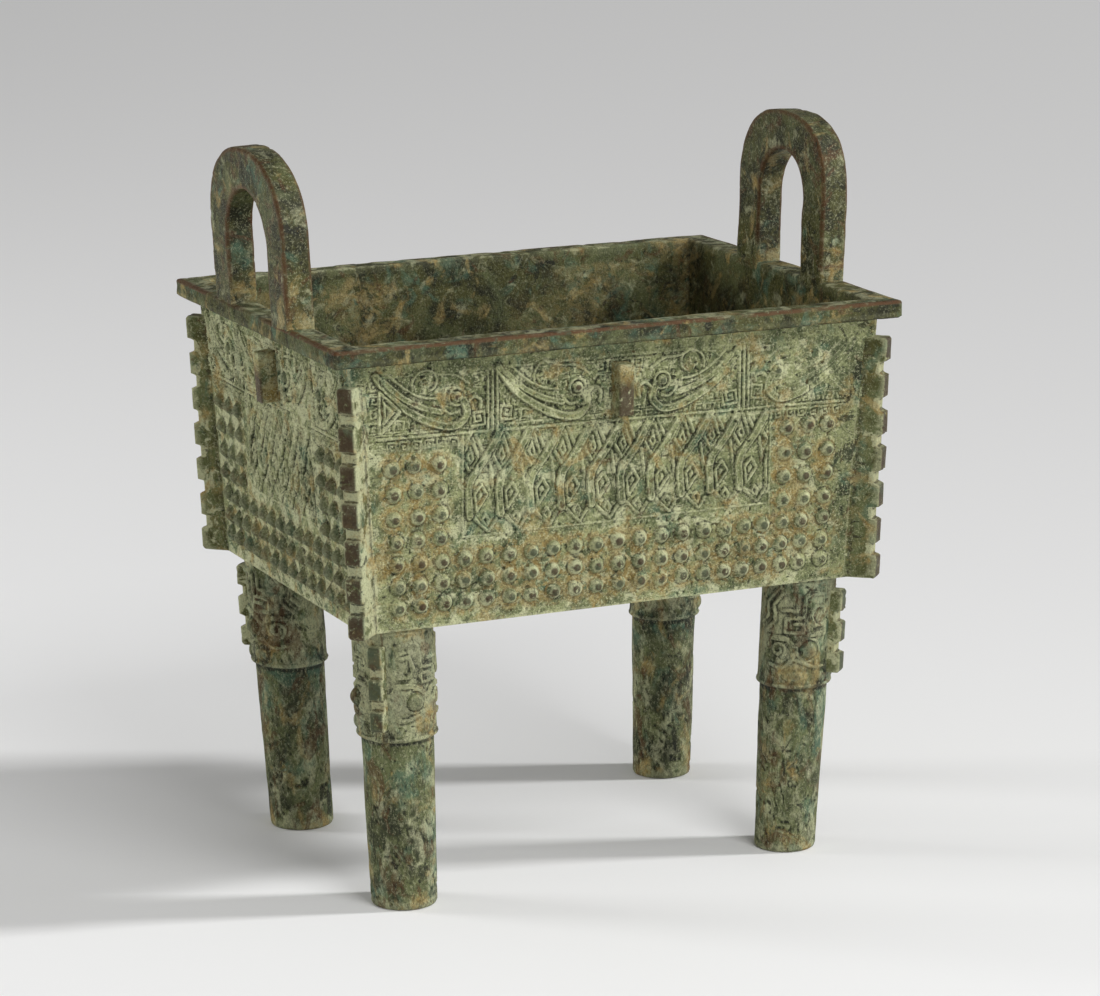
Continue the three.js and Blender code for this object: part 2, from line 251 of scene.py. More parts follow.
def make_piece(bm, name):
    """A new object from a bmesh."""
    mesh = bpy.data.meshes.new(name)
    bm.to_mesh(mesh)
    bm.free()
    piece = bpy.data.objects.new(name, mesh)
    bpy.context.scene.collection.objects.link(piece)
    return piece


def face_out(mesh):
    """Turns every face of a closed mesh outwards."""
    bm = bmesh.new()
    bm.from_mesh(mesh)
    bmesh.ops.recalc_face_normals(bm, faces=bm.faces)
    bm.to_mesh(mesh)
    bm.free()


def normals_of(mesh):
    """The mesh's point normals as an array."""
    flat = np.empty(len(mesh.vertices) * 3)
    mesh.vertices.foreach_get("normal", flat)
    return flat.reshape(-1, 3)


def softened(points, ends, rounds):
    """The points after each has moved to the middle of its neighbours a number of times."""
    a, b = ends[:, 0], ends[:, 1]
    count = np.bincount(a, minlength=len(points)) + np.bincount(b, minlength=len(points))
    for _ in range(rounds):
        columns = [
            np.bincount(a, points[b, k], len(points)) + np.bincount(b, points[a, k], len(points))
            for k in range(3)
        ]
        points = np.stack(columns, 1) / count[:, None]
    return points


def write_layer(mesh, name, values):
    """Stores one number per point for the material to read."""
    layer = mesh.attributes.new(name, "FLOAT", "POINT")
    layer.data.foreach_set("value", np.asarray(values, dtype=np.float32))


# How far above or below its surroundings a point has to be to count as a full edge or hollow
EDGE_DEPTH = 0.35


def write_edges(mesh, rounds):
    """Stores how far each point stands above its surroundings: 0.5 is level with them."""
    points = places(mesh) / MM
    flat = np.empty(len(mesh.edges) * 2, dtype=np.int64)
    mesh.edges.foreach_get("vertices", flat)
    above = ((points - softened(points, flat.reshape(-1, 2), rounds)) * normals_of(mesh)).sum(1)
    write_layer(mesh, "edges", np.clip(0.5 + above / EDGE_DEPTH / 2, 0, 1))


# Sizes of a cast surface's swells, each with its share of the unevenness, and of the noises for its pits
SWELLS = ((17, 1.0), (6, 0.5), (2.2, 0.25))
PIT_GRAIN, PIT_GROUPS = 1.1, 2.6


def weathered(piece, uneven, pitted, seed, hold=None):
    """Gives a cast surface its slow unevenness and its small pits, in millimetres."""
    mesh = piece.data
    points = places(mesh) / MM
    shift = uneven * sum(share * noise(points, size, seed + i) for i, (size, share) in enumerate(SWELLS))
    grain = noise(points, PIT_GRAIN, seed + 3) * noise(points, PIT_GROUPS, seed + 4)
    shift -= pitted * ease(grain, 0.12, 0.45)
    if hold is not None:
        shift *= hold
    put(mesh, points + normals_of(mesh) * shift[:, None])


# What a piece's points store for the patina: how far they stand out, where the piece is rubbed, where
# earth stays, where the crust is lost to black, and where there is more crust or less; on the left wall's
# bosses and under the lip, less crust and dark metal are painted shade
LAYERS = ("edges", "worn", "earth", "stain", "chalk")


def dress(piece, material, sharp):
    """Smooth shading, the material, and the piece's place in the frame."""
    mesh = piece.data
    mesh.shade_smooth()
    mesh.set_sharp_from_angle(angle=math.radians(sharp))
    for name in LAYERS:
        if name not in mesh.attributes:
            write_layer(mesh, name, np.zeros(len(mesh.vertices)))
    mesh.materials.append(material)
    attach(piece, BODY)
    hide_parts(NODE)


# Materials


def add(tree, kind, inputs=None, **settings):
    """Adds a node with its settings, and fills or links its inputs, a node by its first output."""
    node = tree.nodes.new(kind)
    for name, value in settings.items():
        setattr(node, name, value)
    for key, value in (inputs or {}).items():
        if isinstance(value, bpy.types.Node):
            value = value.outputs[0]
        if isinstance(value, bpy.types.NodeSocket):
            tree.links.new(value, node.inputs[key])
        else:
            node.inputs[key].default_value = value
    return node


# Settings of the nodes that narrow a mask, join two masks and turn a value into a soft-edged mask
TIMES = {"operation": "MULTIPLY", "use_clamp": True}
PLUS = {"operation": "ADD", "use_clamp": True}
SMOOTH = {"interpolation_type": "SMOOTHSTEP"}
# Half the usual swing of the noise about its middle
NOISE_SPREAD = 0.085


def cast_patina(name, look):
    """Cast bronze long in the ground, under a matt crust of copper salts with earth in its hollows.

    The crust scatters light like dry paint, so the surface is rough and hardly metallic, with the
    weak shine of a dry mineral, and only the high points that hands have worn show dark metal.
    """
    material = bpy.data.materials.get(name)
    if material:
        return material
    material = bpy.data.materials.new(name)
    material.use_nodes = True
    tree = material.node_tree
    tree.nodes.clear()
    place = add(tree, "ShaderNodeTexCoord").outputs["Object"]
    # Object coordinates in millimetres, so every size below is a real one, drawn out where it has run
    stretch = (1 / MM, 1 / MM, 1 / MM / look["streak"])
    in_mm = add(tree, "ShaderNodeMapping", {"Vector": place, "Scale": stretch})

    def cloud(size, detail, rough, warp=0.0, shift=0.0):
        """Soft noise with features of this size."""
        moved = add(tree, "ShaderNodeMapping", {"Vector": in_mm, "Location": (shift, -shift, shift / 2)})
        return add(tree, "ShaderNodeTexNoise", {
            "Vector": moved, "Scale": 1 / size, "Detail": detail, "Roughness": rough, "Distortion": warp})

    def blend(a, b, share):
        """Two clouds added up, with this share of the first."""
        first = add(tree, "ShaderNodeMath", {0: a, 1: share}, **TIMES)
        second = add(tree, "ShaderNodeMath", {0: b, 1: 1 - share}, **TIMES)
        return add(tree, "ShaderNodeMath", {0: first, 1: second}, **PLUS)

    def ragged(low, high, size, detail=6, rough=0.62, warp=0.6, shift=0.0, more=None):
        """A mask of noise: 0 below low, 1 above high, and more of it where another layer says."""
        field = cloud(size, detail, rough, warp, shift)
        if more:
            field = add(tree, "ShaderNodeMath", {0: field, 1: more}, **PLUS)
        return add(tree, "ShaderNodeMapRange", {"Value": field, "From Min": low, "From Max": high}, **SMOOTH)

    def patches(size, share, soft=0.05, *settings, **others):
        """Ragged patches of this size over a share of the surface."""
        middle = 0.5 + NOISE_SPREAD * NormalDist().inv_cdf(1 - share)
        return ragged(middle - soft / 2, middle + soft / 2, size, *settings, **others)

    def cover(base, top, amount, strength=1.0):
        """Lays a colour over another where the amount says."""
        factor = add(tree, "ShaderNodeMath", {0: amount, 1: strength}, **TIMES)
        mixed = add(tree, "ShaderNodeMix", {MIX_FACTOR: factor, MIX_A: base, MIX_B: top}, data_type="RGBA")
        return mixed.outputs[MIX_RESULT]

    edges, worn, earth, stain, chalk = (
        add(tree, "ShaderNodeAttribute", attribute_name=layer).outputs["Fac"] for layer in LAYERS)
    raised = add(tree, "ShaderNodeMapRange", {"Value": edges, "From Min": 0.54, "From Max": 0.74}, **SMOOTH)
    hollow = add(tree, "ShaderNodeMapRange", {"Value": edges, "From Min": 0.46, "From Max": 0.2}, **SMOOTH)

    # Mottling of 13 mm and of 3 mm between the part's light and dark green
    mottle = blend(cloud(13, 5, 0.6, 0.8), cloud(3.2, 5, 0.7, 0.5, 23), 0.6)
    ground = add(tree, "ShaderNodeMapRange", {"Value": mottle, "From Min": 0.42, "From Max": 0.58}, **SMOOTH)
    colour = cover(shade(look["dark"]), shade(look["light"]), ground)
    # Warm green in soft 18 mm patches, and cold green in 12 mm ones
    colour = cover(colour, shade("moss"), patches(18, look["moss"], 0.16, 5, shift=170), 0.5)
    colour = cover(colour, shade("teal"), patches(12, look["teal"], 0.14, 5, shift=31), 0.55)
    # Pale crust with ragged 6 mm edges, and thin along the raised relief
    chalky = add(tree, "ShaderNodeMath", {0: chalk, 1: 0.2}, operation="MULTIPLY")
    crust = patches(6, look["pale"], look["soft"], 7, shift=57, more=chalky)
    thin = add(tree, "ShaderNodeMath", {0: raised, 1: look["raised"]}, **TIMES)
    crust = add(tree, "ShaderNodeMath", {0: crust, 1: thin}, **PLUS)
    colour = cover(colour, shade("pale"), crust, look["crust"])
    # Hollows keep the darkest patina, in broken lines
    broken = ragged(0.34, 0.5, 2.5, 4, 0.7, 0, 26)
    lines = add(tree, "ShaderNodeMath", {0: hollow, 1: broken}, **TIMES)
    colour = cover(colour, shade("deep"), lines, look["hollow"])
    # Tan earth, held by the hollows in 30 mm stretches and scattered in 10 mm drifts, rusty where thick
    drift = patches(10, look["earth"], 0.14, 6, shift=83)
    held = add(tree, "ShaderNodeMath", {0: earth, 1: patches(3, 0.66, 0.12, shift=12)}, **TIMES)
    stretches = ragged(0.36, 0.52, 30, 3, 0.5, 0.3, 9)
    held = add(tree, "ShaderNodeMath", {0: held, 1: stretches}, **TIMES)
    soil = add(tree, "ShaderNodeMath", {0: drift, 1: held}, **PLUS)
    colour = cover(colour, shade("earth"), soil, 0.66)
    thick = add(tree, "ShaderNodeMath", {0: soil, 1: patches(5, 0.34, 0.1, shift=99)}, **TIMES)
    colour = cover(colour, shade("ochre"), thick, 0.6)
    # Red-brown cuprite in thin patches, 10 mm across
    colour = cover(colour, shade("rust"), patches(10, look["rust"], 0.09, 5, warp=1.2, shift=140), 0.6)
    # Black corrosion with sharp ragged edges, in 8 mm blotches where the crust is lost
    lost = add(tree, "ShaderNodeMath", {0: stain, 1: 0.1}, **TIMES)
    colour = cover(colour, shade("deep"), patches(8, look["black"], 0.02, 9, 0.7, 0.9, 207, lost), 0.75)
    # Grain of the crust: dark specks of 1.4 and 0.7 mm, and pale grains of 0.9 mm
    colour = cover(colour, shade("deep"), patches(1.4, 0.2, 0.05, 4, 0.8, 0.3, 19), look["specks"])
    colour = cover(colour, shade("deep"), patches(0.7, 0.26, 0.08, 3, 0.8, 0, 38), look["specks"])
    colour = cover(colour, shade("pale"), patches(0.9, 0.2, 0.07, 4, 0.8, 0, 71), look["grains"])
    # High points rubbed down to dark metal, some of it tarnished again, under what is left of the crust; on
    # the left wall's bosses this dark tarnish is partly painted shade
    left_bare = ragged(0.38, 0.46, 2.2, 6, 0.8, 0.2, 45)
    rubbed = add(tree, "ShaderNodeMath", {0: worn, 1: left_bare}, **TIMES)
    tarnished = patches(9, look["tarnish"], 0.12, 4, shift=61)
    metal_colour = cover(shade(look["metal"]), shade("tarnish"), tarnished)
    colour = cover(colour, metal_colour, rubbed, 0.88)

    rough = add(tree, "ShaderNodeMapRange", {"Value": rubbed, "To Min": look["rough"], "To Max": 0.5})
    metal = add(tree, "ShaderNodeMapRange", {"Value": rubbed, "To Min": 0.03, "To Max": 0.2})
    # Crust grain of 0.7 mm on lumps of 2.5 mm
    lumps = blend(cloud(0.7, 3, 0.8, 0, 5), cloud(2.5, 6, 0.8, 0.3, 66), 0.45)
    bump = add(tree, "ShaderNodeBump", {"Strength": look["bump"], "Distance": 1.8 * MM, "Height": lumps})
    shader = add(tree, "ShaderNodeBsdfPrincipled", {
        "Base Color": colour, "Roughness": rough, "Metallic": metal, "Specular IOR Level": 0.25,
        "Normal": bump})
    add(tree, "ShaderNodeOutputMaterial", {"Surface": shader})
    return material


# What changes between the parts of the casting: their greens, the share of the surface that each layer
# covers, and how strongly the grain and the hollows show
WALL_LOOK = {
    "light": "wall_light", "dark": "wall_dark", "metal": "bronze", "pale": 0.24, "raised": 0.55,
    "crust": 0.6, "soft": 0.07, "moss": 0.3, "teal": 0.12, "earth": 0.12, "rust": 0.03, "black": 0.03,
    "tarnish": 0.4, "specks": 0.46, "grains": 0.5, "hollow": 0.85, "rough": 0.8, "bump": 0.75,
    "streak": 1.0}
# The left wall: a paler ground, and dark tarnish over its bosses, partly painted shade for relief that its
# light leaves flat
LEFT_WALL_SHADED_BOSS_LOOK = {**WALL_LOOK, "pale": 0.52, "tarnish": 0.8}
RIB_LOOK = {**WALL_LOOK, "tarnish": 0.03, "pale": 0.3, "earth": 0.3}
FLANGE_LOOK = {
    **WALL_LOOK, "light": "limb_light", "dark": "smooth_light", "pale": 0.14, "earth": 0.08,
    "black": 0.06, "tarnish": 0.1, "specks": 0.3, "grains": 0.3}
LEG_FLANGE_LOOK = {**FLANGE_LOOK, "tarnish": 0.7}
LEG_LOOK = {
    **WALL_LOOK, "light": "limb_light", "dark": "limb_dark", "pale": 0.2, "raised": 0.5, "crust": 0.4,
    "soft": 0.16, "teal": 0.2, "rust": 0.16, "black": 0.1, "specks": 0.42, "grains": 0.25, "rough": 0.7,
    "streak": 1.6}
SMOOTH_LOOK = {
    **WALL_LOOK, "light": "smooth_light", "dark": "smooth_dark", "metal": "rust", "pale": 0.08,
    "raised": 0.12, "crust": 0.4, "soft": 0.16, "moss": 0.14, "teal": 0.05, "earth": 0.09, "rust": 0.16,
    "black": 0.07, "tarnish": 0.04, "specks": 0.34, "grains": 0.25, "rough": 0.56, "bump": 0.5}
BASIN_LOOK = {
    **SMOOTH_LOOK, "teal": 0.14, "moss": 0.26, "rust": 0.07, "specks": 0.36, "grains": 0.15,
    "rough": 0.68, "bump": 0.65}


# Carving: a field of heights over a flat or rolled-out surface


# Keeps a line of no length from dividing by zero
TINY = 1e-9


class Field:
    """Heights in millimetres over a wall, with where it is worn and where earth stays."""

    def __init__(self, low_width, high_width, low, high, full_height, cell, columns=None):
        self.low, self.high, self.full = low, high, full_height
        self.widths = (low_width, high_width)
        self.rows = int(round((high - low) / cell))
        self.columns = columns or int(round(high_width / cell))
        self.v = np.linspace(low, high, self.rows + 1)[:, None] * np.ones(self.columns + 1)
        share = np.linspace(-0.5, 0.5, self.columns + 1)
        self.u = share * self.width_at(self.v)
        self.height = np.zeros(self.u.shape)
        self.worn = np.zeros(self.u.shape)
        self.earth = np.zeros(self.u.shape)
        self.chalk = np.zeros(self.u.shape)

    def width_at(self, v):
        return self.widths[0] + (self.widths[1] - self.widths[0]) * v / self.full

    def window(self, points, reach):
        """The part of the field that comes within reach of some points."""
        us, vs = [p[0] for p in points], [p[1] for p in points]
        step = (self.high - self.low) / self.rows
        first = int(math.floor((min(vs) - reach - self.low) / step))
        last = int(math.ceil((max(vs) + reach - self.low) / step))
        shares = [u / w for u in (min(us) - reach, max(us) + reach) for w in self.widths]
        left = int(math.floor((min(shares) + 0.5) * self.columns))
        right = int(math.ceil((max(shares) + 0.5) * self.columns))
        return slice(max(first, 0), max(last + 1, 0)), slice(max(left, 0), max(right + 1, 0))

    def distance(self, lines, reach=4.0):
        """How far each place is from the nearest of some lines, up to reach."""
        near = np.full(self.u.shape, reach)
        for line in lines:
            for start, end in zip(line, line[1:]):
                part = self.window((start, end), reach)
                run_u, run_v = end[0] - start[0], end[1] - start[1]
                du, dv = self.u[part] - start[0], self.v[part] - start[1]
                along = (du * run_u + dv * run_v) / max(run_u ** 2 + run_v ** 2, TINY)
                along = np.clip(along, 0, 1)
                far = np.hypot(du - along * run_u, dv - along * run_v)
                near[part] = np.minimum(near[part], far)
        return near

    def raise_lines(self, lines, width, rise, soft=0.4):
        """Rounded ridges along some lines."""
        self.height = np.maximum(self.height, rise * on_stroke(self.distance(lines), width, soft))

    def band(self, lines, width, rise, groove=0.7, depth=0.35):
        """A flat band with a groove along each side."""
        near = self.distance(lines)
        self.height -= depth * on_stroke(near, width + 2 * groove, 0.4)
        dished = 0.62 + 0.38 * ease(near, 0.2 * width, 0.4 * width)
        self.height = np.maximum(self.height, rise * dished * on_stroke(near, width, 0.4))

    def nested(self, corners, pitch, rise):
        """Ridges one inside the other, all following an outline."""
        part = self.window(corners, 1.0)
        if self.height[part].size == 0:
            return
        loop = [*corners, corners[0]]
        u, v = self.u[part], self.v[part]
        inside = np.zeros(u.shape, bool)
        for (u0, v0), (u1, v1) in zip(loop, loop[1:]):
            if v0 != v1:
                inside ^= ((v0 > v) != (v1 > v)) & (u < (u1 - u0) * (v - v0) / (v1 - v0) + u0)
        near = self.distance([loop], 8.0)[part]
        ridge = 0.5 + 0.5 * np.cos(2 * math.pi * near / pitch)
        edge = on_stroke(near, pitch * 0.6, 0.4)
        level = np.where(inside, ridge, edge)
        self.height[part] = np.where(inside | (near < pitch / 2), rise * level, self.height[part])

    def square_spiral(self, u, v, half, pitch, rise, way=1):
        """A square spiral, the ground pattern of thunder scrolls."""
        part = self.window([(u - half, v - half), (u + half, v + half)], 0)
        du, dv = self.u[part] - u, self.v[part] - v
        far = np.maximum(np.abs(du), np.abs(dv))
        turn = np.arctan2(dv, way * du) / (2 * math.pi)
        ridge = ease(np.cos(2 * math.pi * (far / pitch - turn)), -0.5, 0.6)
        self.height[part] = np.where(far < half, rise * ridge, self.height[part])

    def bump(self, u, v, across, up, rise, power=2.0):
        """A rounded boss."""
        part = self.window([(u - across, v - up), (u + across, v + up)], 0)
        far = np.hypot((self.u[part] - u) / across, (self.v[part] - v) / up)
        dome = rise * np.clip(1 - far ** power, 0, 1)
        self.height[part] = np.maximum(self.height[part], dome)
        self.worn[part] = np.maximum(self.worn[part], ease(far, 0.5, 0.4))
        ring = ease(far, 0.38, 0.5) * ease(far, 1.0, 0.8)
        self.chalk[part] = np.maximum(self.chalk[part], ring)

    def blurred(self, cells):
        """The heights averaged over a square of this many cells either way."""
        total = np.pad(self.height, cells, mode="edge")
        size = 2 * cells + 1
        for axis in (0, 1):
            sums = np.cumsum(total, axis=axis)
            sums = np.insert(sums, 0, 0, axis=axis)
            count = sums.shape[axis]
            ahead = np.take(sums, range(size, count), axis)
            total = (ahead - np.take(sums, range(0, count - size), axis)) / size
        return total


def curve(points, steps=8):
    """Points along a smooth curve through some points."""
    ends = [points[0], *points, points[-1]]
    path = []
    for a, b, c, d in zip(ends, ends[1:], ends[2:], ends[3:]):
        for i in range(steps):
            t = i / steps
            path.append(tuple(
                0.5 * (2 * b[k] + (c[k] - a[k]) * t + (2 * a[k] - 5 * b[k] + 4 * c[k] - d[k]) * t * t
                       + (3 * b[k] - a[k] - 3 * c[k] + d[k]) * t ** 3)
                for k in (0, 1)))
    return [*path, points[-1]]


def arc(centre, radius, start, end, steps=14):
    """Points along an arc, in degrees from +u towards +v, with a radius that may change on the way."""
    near, far = radius if isinstance(radius, tuple) else (radius, radius)
    path = []
    for i in range(steps + 1):
        t = i / steps
        angle = math.radians(start + (end - start) * t)
        r = near + (far - near) * t
        path.append((centre[0] + r * math.cos(angle), centre[1] + r * math.sin(angle)))
    return path


# The four walls


# How much a frieze's lower line falls to the right, as cast, on a long wall and on a short one
FRIEZE_FALL = (0.0155, 0.0062)
# How deep the carved slabs reach into the wall
SLAB_DEPTH = 1.5


class Wall:
    """One wall of the basin: which way it faces and how it is laid out."""

    def __init__(self, name, turn):
        self.name, self.turn = name, turn
        self.long = turn % 2 == 0
        lean_x, lean_y = mm("short_lean"), mm("long_lean")
        along, across = ("top_length", "top_width") if self.long else ("top_width", "top_length")
        lean_along, self.lean = (lean_x, lean_y) if self.long else (lean_y, lean_x)
        self.high_width = mm(along)
        self.low_width = self.high_width - 2 * lean_along
        self.depth = mm(across) / 2 - self.lean
        self.height = mm("wall_height")
        self.columns = 21 if self.long else 14
        self.margin = 12.6 if self.long else 11.4
        self.scale = self.low_width / (mm("top_length") - 2 * lean_x)

    def frieze_base(self, u):
        """Height of the frieze's lower line."""
        return self.height - mm("frieze") - FRIEZE_FALL[0 if self.long else 1] * u

    def point(self, u, v, out):
        """From wall coordinates to the frame, in millimetres."""
        slope = self.lean / self.height
        flat = np.stack([u, -(self.depth + slope * v + out), mm("leg_height") + v - slope * out], 1)
        c, s = [(1, 0), (0, 1), (-1, 0), (0, -1)][self.turn]
        return np.stack([flat[:, 0] * c - flat[:, 1] * s, flat[:, 0] * s + flat[:, 1] * c, flat[:, 2]], 1)


# Bosses run in a U: all along the lowest rows, and in a few columns up each side
BOSS_ROWS = 7
BOSS_LOW_ROWS = 3
BOSS_SIDE_COLUMNS = 3
BOSS_FIRST_ROW = 8.0
BOSS_ROW_PITCH = 7.2
BOSS_PITCH_GROWTH = 0.16
# How far a boss set by hand may sit off its place along and up the wall
BOSS_JOG = (0.7, 0.6)
# On the front the last columns stand closer together, by this much between these places
FRONT_CLOSING, CLOSING_FROM, CLOSING_TO = 3.0, 35, 75
# Earth lies round a boss between these distances from its middle
EARTH_NEAR, EARTH_FAR = 2.4, 6.0


def carve_bosses(field, wall):
    """Low cones in rows, set by hand and so a little off their lines, with earth between them."""
    span = wall.low_width - 2 * wall.margin
    step = span / (wall.columns - 1)
    centres = []
    for row in range(BOSS_ROWS):
        for column in range(wall.columns):
            from_side = min(column, wall.columns - 1 - column)
            if row >= BOSS_LOW_ROWS and from_side >= BOSS_SIDE_COLUMNS:
                continue
            jog = [lattice_random(column, row, wall.turn, seed) - 0.5 for seed in (3, 4, 5)]
            v = BOSS_FIRST_ROW + row * (BOSS_ROW_PITCH + row * BOSS_PITCH_GROWTH) + BOSS_JOG[1] * jog[1]
            u = (-span / 2 + column * step) * field.width_at(v) / wall.low_width + BOSS_JOG[0] * jog[0]
            if wall.turn == 0:
                u -= FRONT_CLOSING * ease(u, CLOSING_FROM, CLOSING_TO)
            centres.append((u, v))
            radius = mm("boss") / 2 * (1.02 + 0.12 * jog[2])
            field.bump(u, v, radius, radius, mm("boss_height") * (1 - 0.25 * jog[2]), 1.9)
    near = field.distance([[c, c] for c in centres], EARTH_FAR)
    field.earth = ease(near, EARTH_FAR, 3.8) * ease(near, EARTH_NEAR, 3.1)


# The panel of hooks: its foot above the basin's underside, one repeat, and the line round it
PANEL_FOOT = 31.6
PANEL_PITCH = 11.2
PANEL_LINE_GAP = 1.4
# The small scrolls over the bosses at either side
SCROLL_PITCH, SCROLL_HALF, SCROLL_RIDGE = 4.5, 1.9, 1.25


def carve_panel(field, wall):
    """Slanted hooks: a band forked at its top, leaves of nested ridges between, and pointed feet."""
    span = wall.low_width - 2 * wall.margin
    step = span / (wall.columns - 1)
    half = span / 2 - BOSS_SIDE_COLUMNS * step
    repeats = int(round(2 * half / PANEL_PITCH))
    pitch = 2 * half / repeats
    bands, thin, leaves = [], [], []
    for i in range(-1, repeats + 1):
        def at(x, y, i=i):
            u = -half + (i + 0.62 + x) * pitch
            return (u, PANEL_FOOT + y * (wall.frieze_base(u) - PANEL_FOOT))

        bands.append([at(0.44, 1.0), at(0, 0.744), at(-0.5, 0.53), at(-0.59, 0.42), at(-0.53, 0.17)])
        thin.append([at(-0.34, 0.97), at(-0.02, 0.744)])
        thin.append([at(0.13, 0.68), at(0.36, 0.16)])
        thin.append([at(0.40, 0.15), at(0.085, 0.0), at(-0.47, 0.175)])
        leaves.append([at(-0.146, 0.468), at(0.03, 0.368), at(-0.30, 0.215), at(-0.37, 0.385)])
        leaves.append([at(-0.47, 0.965), at(-0.25, 0.73), at(-0.52, 0.61), at(-0.78, 0.76)])
        leaves.append([at(-0.02, 0.17), at(0.09, 0.115), at(0.02, 0.055), at(-0.14, 0.12)])
    inside = ease(half + 0.6 - np.abs(field.u), 0, 0.5)
    inside *= ease(field.v, PANEL_FOOT - 0.8, PANEL_FOOT - 0.3)
    inside *= ease(wall.frieze_base(field.u) - field.v, 0, 0.4)
    before = field.height.copy()
    field.height = np.zeros(field.u.shape)
    for leaf in leaves:
        field.nested(leaf, 1.75, 0.9)
    field.band(thin, 0.9, 1.05, 0.5, 0.4)
    field.band(bands, 2.7, 1.15, 0.7, 0.6)
    field.height = np.where(inside > 0, field.height * inside, before)
    edge, foot = half + PANEL_LINE_GAP, PANEL_FOOT - 1.2
    field.raise_lines([
        [(-edge, foot), (-edge, wall.frieze_base(-half))], [(edge, foot), (edge, wall.frieze_base(half))],
        [(-edge, foot), (edge, foot)]], 0.7, 0.4)
    for side in (-1, 1):
        for i in range(int((span / 2 + 6 - half) / SCROLL_PITCH)):
            u = side * (half + (i + 1) * SCROLL_PITCH)
            field.square_spiral(u, wall.frieze_base(u) - 3.0, SCROLL_HALF, SCROLL_RIDGE, 0.7, -side)


# A dragon's length from its tail to its eye on a long wall
DRAGON_LENGTH = 28


def carve_dragon(field, wall, eye_u, way):
    """A winged dragon that sweeps down from its tail and curls up under a round eye."""
    size = DRAGON_LENGTH * wall.scale

    def at(x, y):
        u = eye_u + way * (x - 1) * size
        return (u, wall.frieze_base(u) + y * mm("frieze"))

    eye = at(1, 0.465)
    body = curve([at(-0.04, 0.79), at(0.21, 0.46), at(0.61, 0.19), at(0.94, 0.10),
                  at(1.09, 0.18), at(1.13, 0.30), at(1.08, 0.42)])
    hook = curve([at(1.12, 0.36), at(1.22, 0.45), at(1.31, 0.40), at(1.30, 0.27)], 6)
    wing = curve([at(0.06, 0.72), at(0.30, 0.50), at(0.56, 0.36), at(0.80, 0.29)])
    plume = curve([at(0.14, 0.78), at(0.36, 0.59), at(0.56, 0.49), at(0.74, 0.46)])
    turned = 0 if way > 0 else 180
    crest = arc(at(0.62, 0.66), (0.20 * size, 0.10 * size), turned + way * 200, turned - way * 70)
    brow = curve([at(1.16, 0.62), at(0.98, 0.74), at(0.78, 0.76), at(0.66, 0.80)], 6)
    jaw = curve([at(0.80, 0.36), at(0.90, 0.26), at(1.0, 0.27)], 6)
    field.band([body], 2.6, 1.2, 0.8, 0.55)
    field.band([wing], 1.9, 0.9, 0.6, 0.35)
    field.raise_lines([hook], 1.2, 0.85)
    field.raise_lines([plume, crest, brow, jaw], 0.85, 0.7)
    ring = field.distance([[eye, eye]])
    field.height = np.maximum(field.height, 0.9 * on_stroke(np.abs(ring - 2.9), 0.8, 0.4))
    field.bump(*eye, 2.2, 2.2, 1.8, 2.4)
    return [body, hook, wing, plume, crest, brow, jaw, [eye, eye]]


# Places along the frieze as shares of half the wall: the dragons' eyes, the column and the corner's leaf
OUTER_EYE, INNER_EYE, COLUMN, CORNER_LEAF = 0.645, 0.17, 0.505, 0.905
# Bare strip between the frieze and the lip
FRIEZE_TOP_GAP = 5.0
# The ground's scrolls: one scroll's width and the step between its ridges
GROUND_SCROLL, GROUND_RIDGE = 4.6, 1.35


def carve_frieze(field, wall):
    """Two dragons either side of the rib, a column of lines between them, on a ground of scrolls."""
    half = wall.low_width / 2
    top = wall.height - FRIEZE_TOP_GAP
    scale = max(wall.scale, 0.8)
    drawn = []
    for side in (-1, 1):
        for share in (OUTER_EYE, INNER_EYE):
            drawn += carve_dragon(field, wall, side * share * half, -side)
        middle = side * COLUMN * half
        base = wall.frieze_base(middle)
        uprights = [[(middle + k * 1.7, base), (middle + k * 1.7, top)] for k in (-1, 0, 1)]
        field.raise_lines(uprights, 0.85, 0.85)
        drawn += uprights
        for k, lift in ((-1, 5.0), (1, 6.2)):
            spot = (middle + k * 5.2 * scale, base + lift)
            field.square_spiral(*spot, 3.0 * scale, 1.5, 0.8, k)
            drawn.append([spot, spot])
        leaf = side * CORNER_LEAF * half
        base = wall.frieze_base(leaf)
        outer, inner = leaf + side * 3.6 * scale, leaf - side * 3.8 * scale
        field.nested([(outer, base + 16.5), (inner, base + 9), (outer, base + 1.6)], 1.8, 0.8)
        drawn.append([(leaf, base + 9), (leaf, base + 10)])
    across, up = field.u / GROUND_SCROLL, field.v / GROUND_SCROLL
    du, dv = across - np.floor(across) - 0.5, up - np.floor(up) - 0.5
    odd = (np.floor(across) + np.floor(up)) % 2 * 2 - 1
    turn = np.arctan2(dv, odd * du) / (2 * math.pi)
    far = np.maximum(np.abs(du), np.abs(dv)) * GROUND_SCROLL
    scroll = ease(np.cos(2 * math.pi * (far / GROUND_RIDGE - turn)), -0.3, 0.7)
    free = ease(field.distance(drawn, 6.0), 1.9, 2.6) * (field.height <= 0.05)
    free *= ease(field.v - wall.frieze_base(field.u), 0.8, 1.2) * ease(top - field.v, 0.6, 1.0)
    field.height += 0.42 * scroll * free
    ends = [(-half + 4, wall.frieze_base(-half)), (half - 4, wall.frieze_base(half))]
    field.band([ends], 0.8, 0.7, 0.6, 0.25)
    field.band([[(-half + 4, top), (half - 4, top)]], 0.7, 0.4, 0.6, 0.15)


# Over this distance the wear looks for what stands out and for what it has smoothed
WEAR_REACH = 0.9


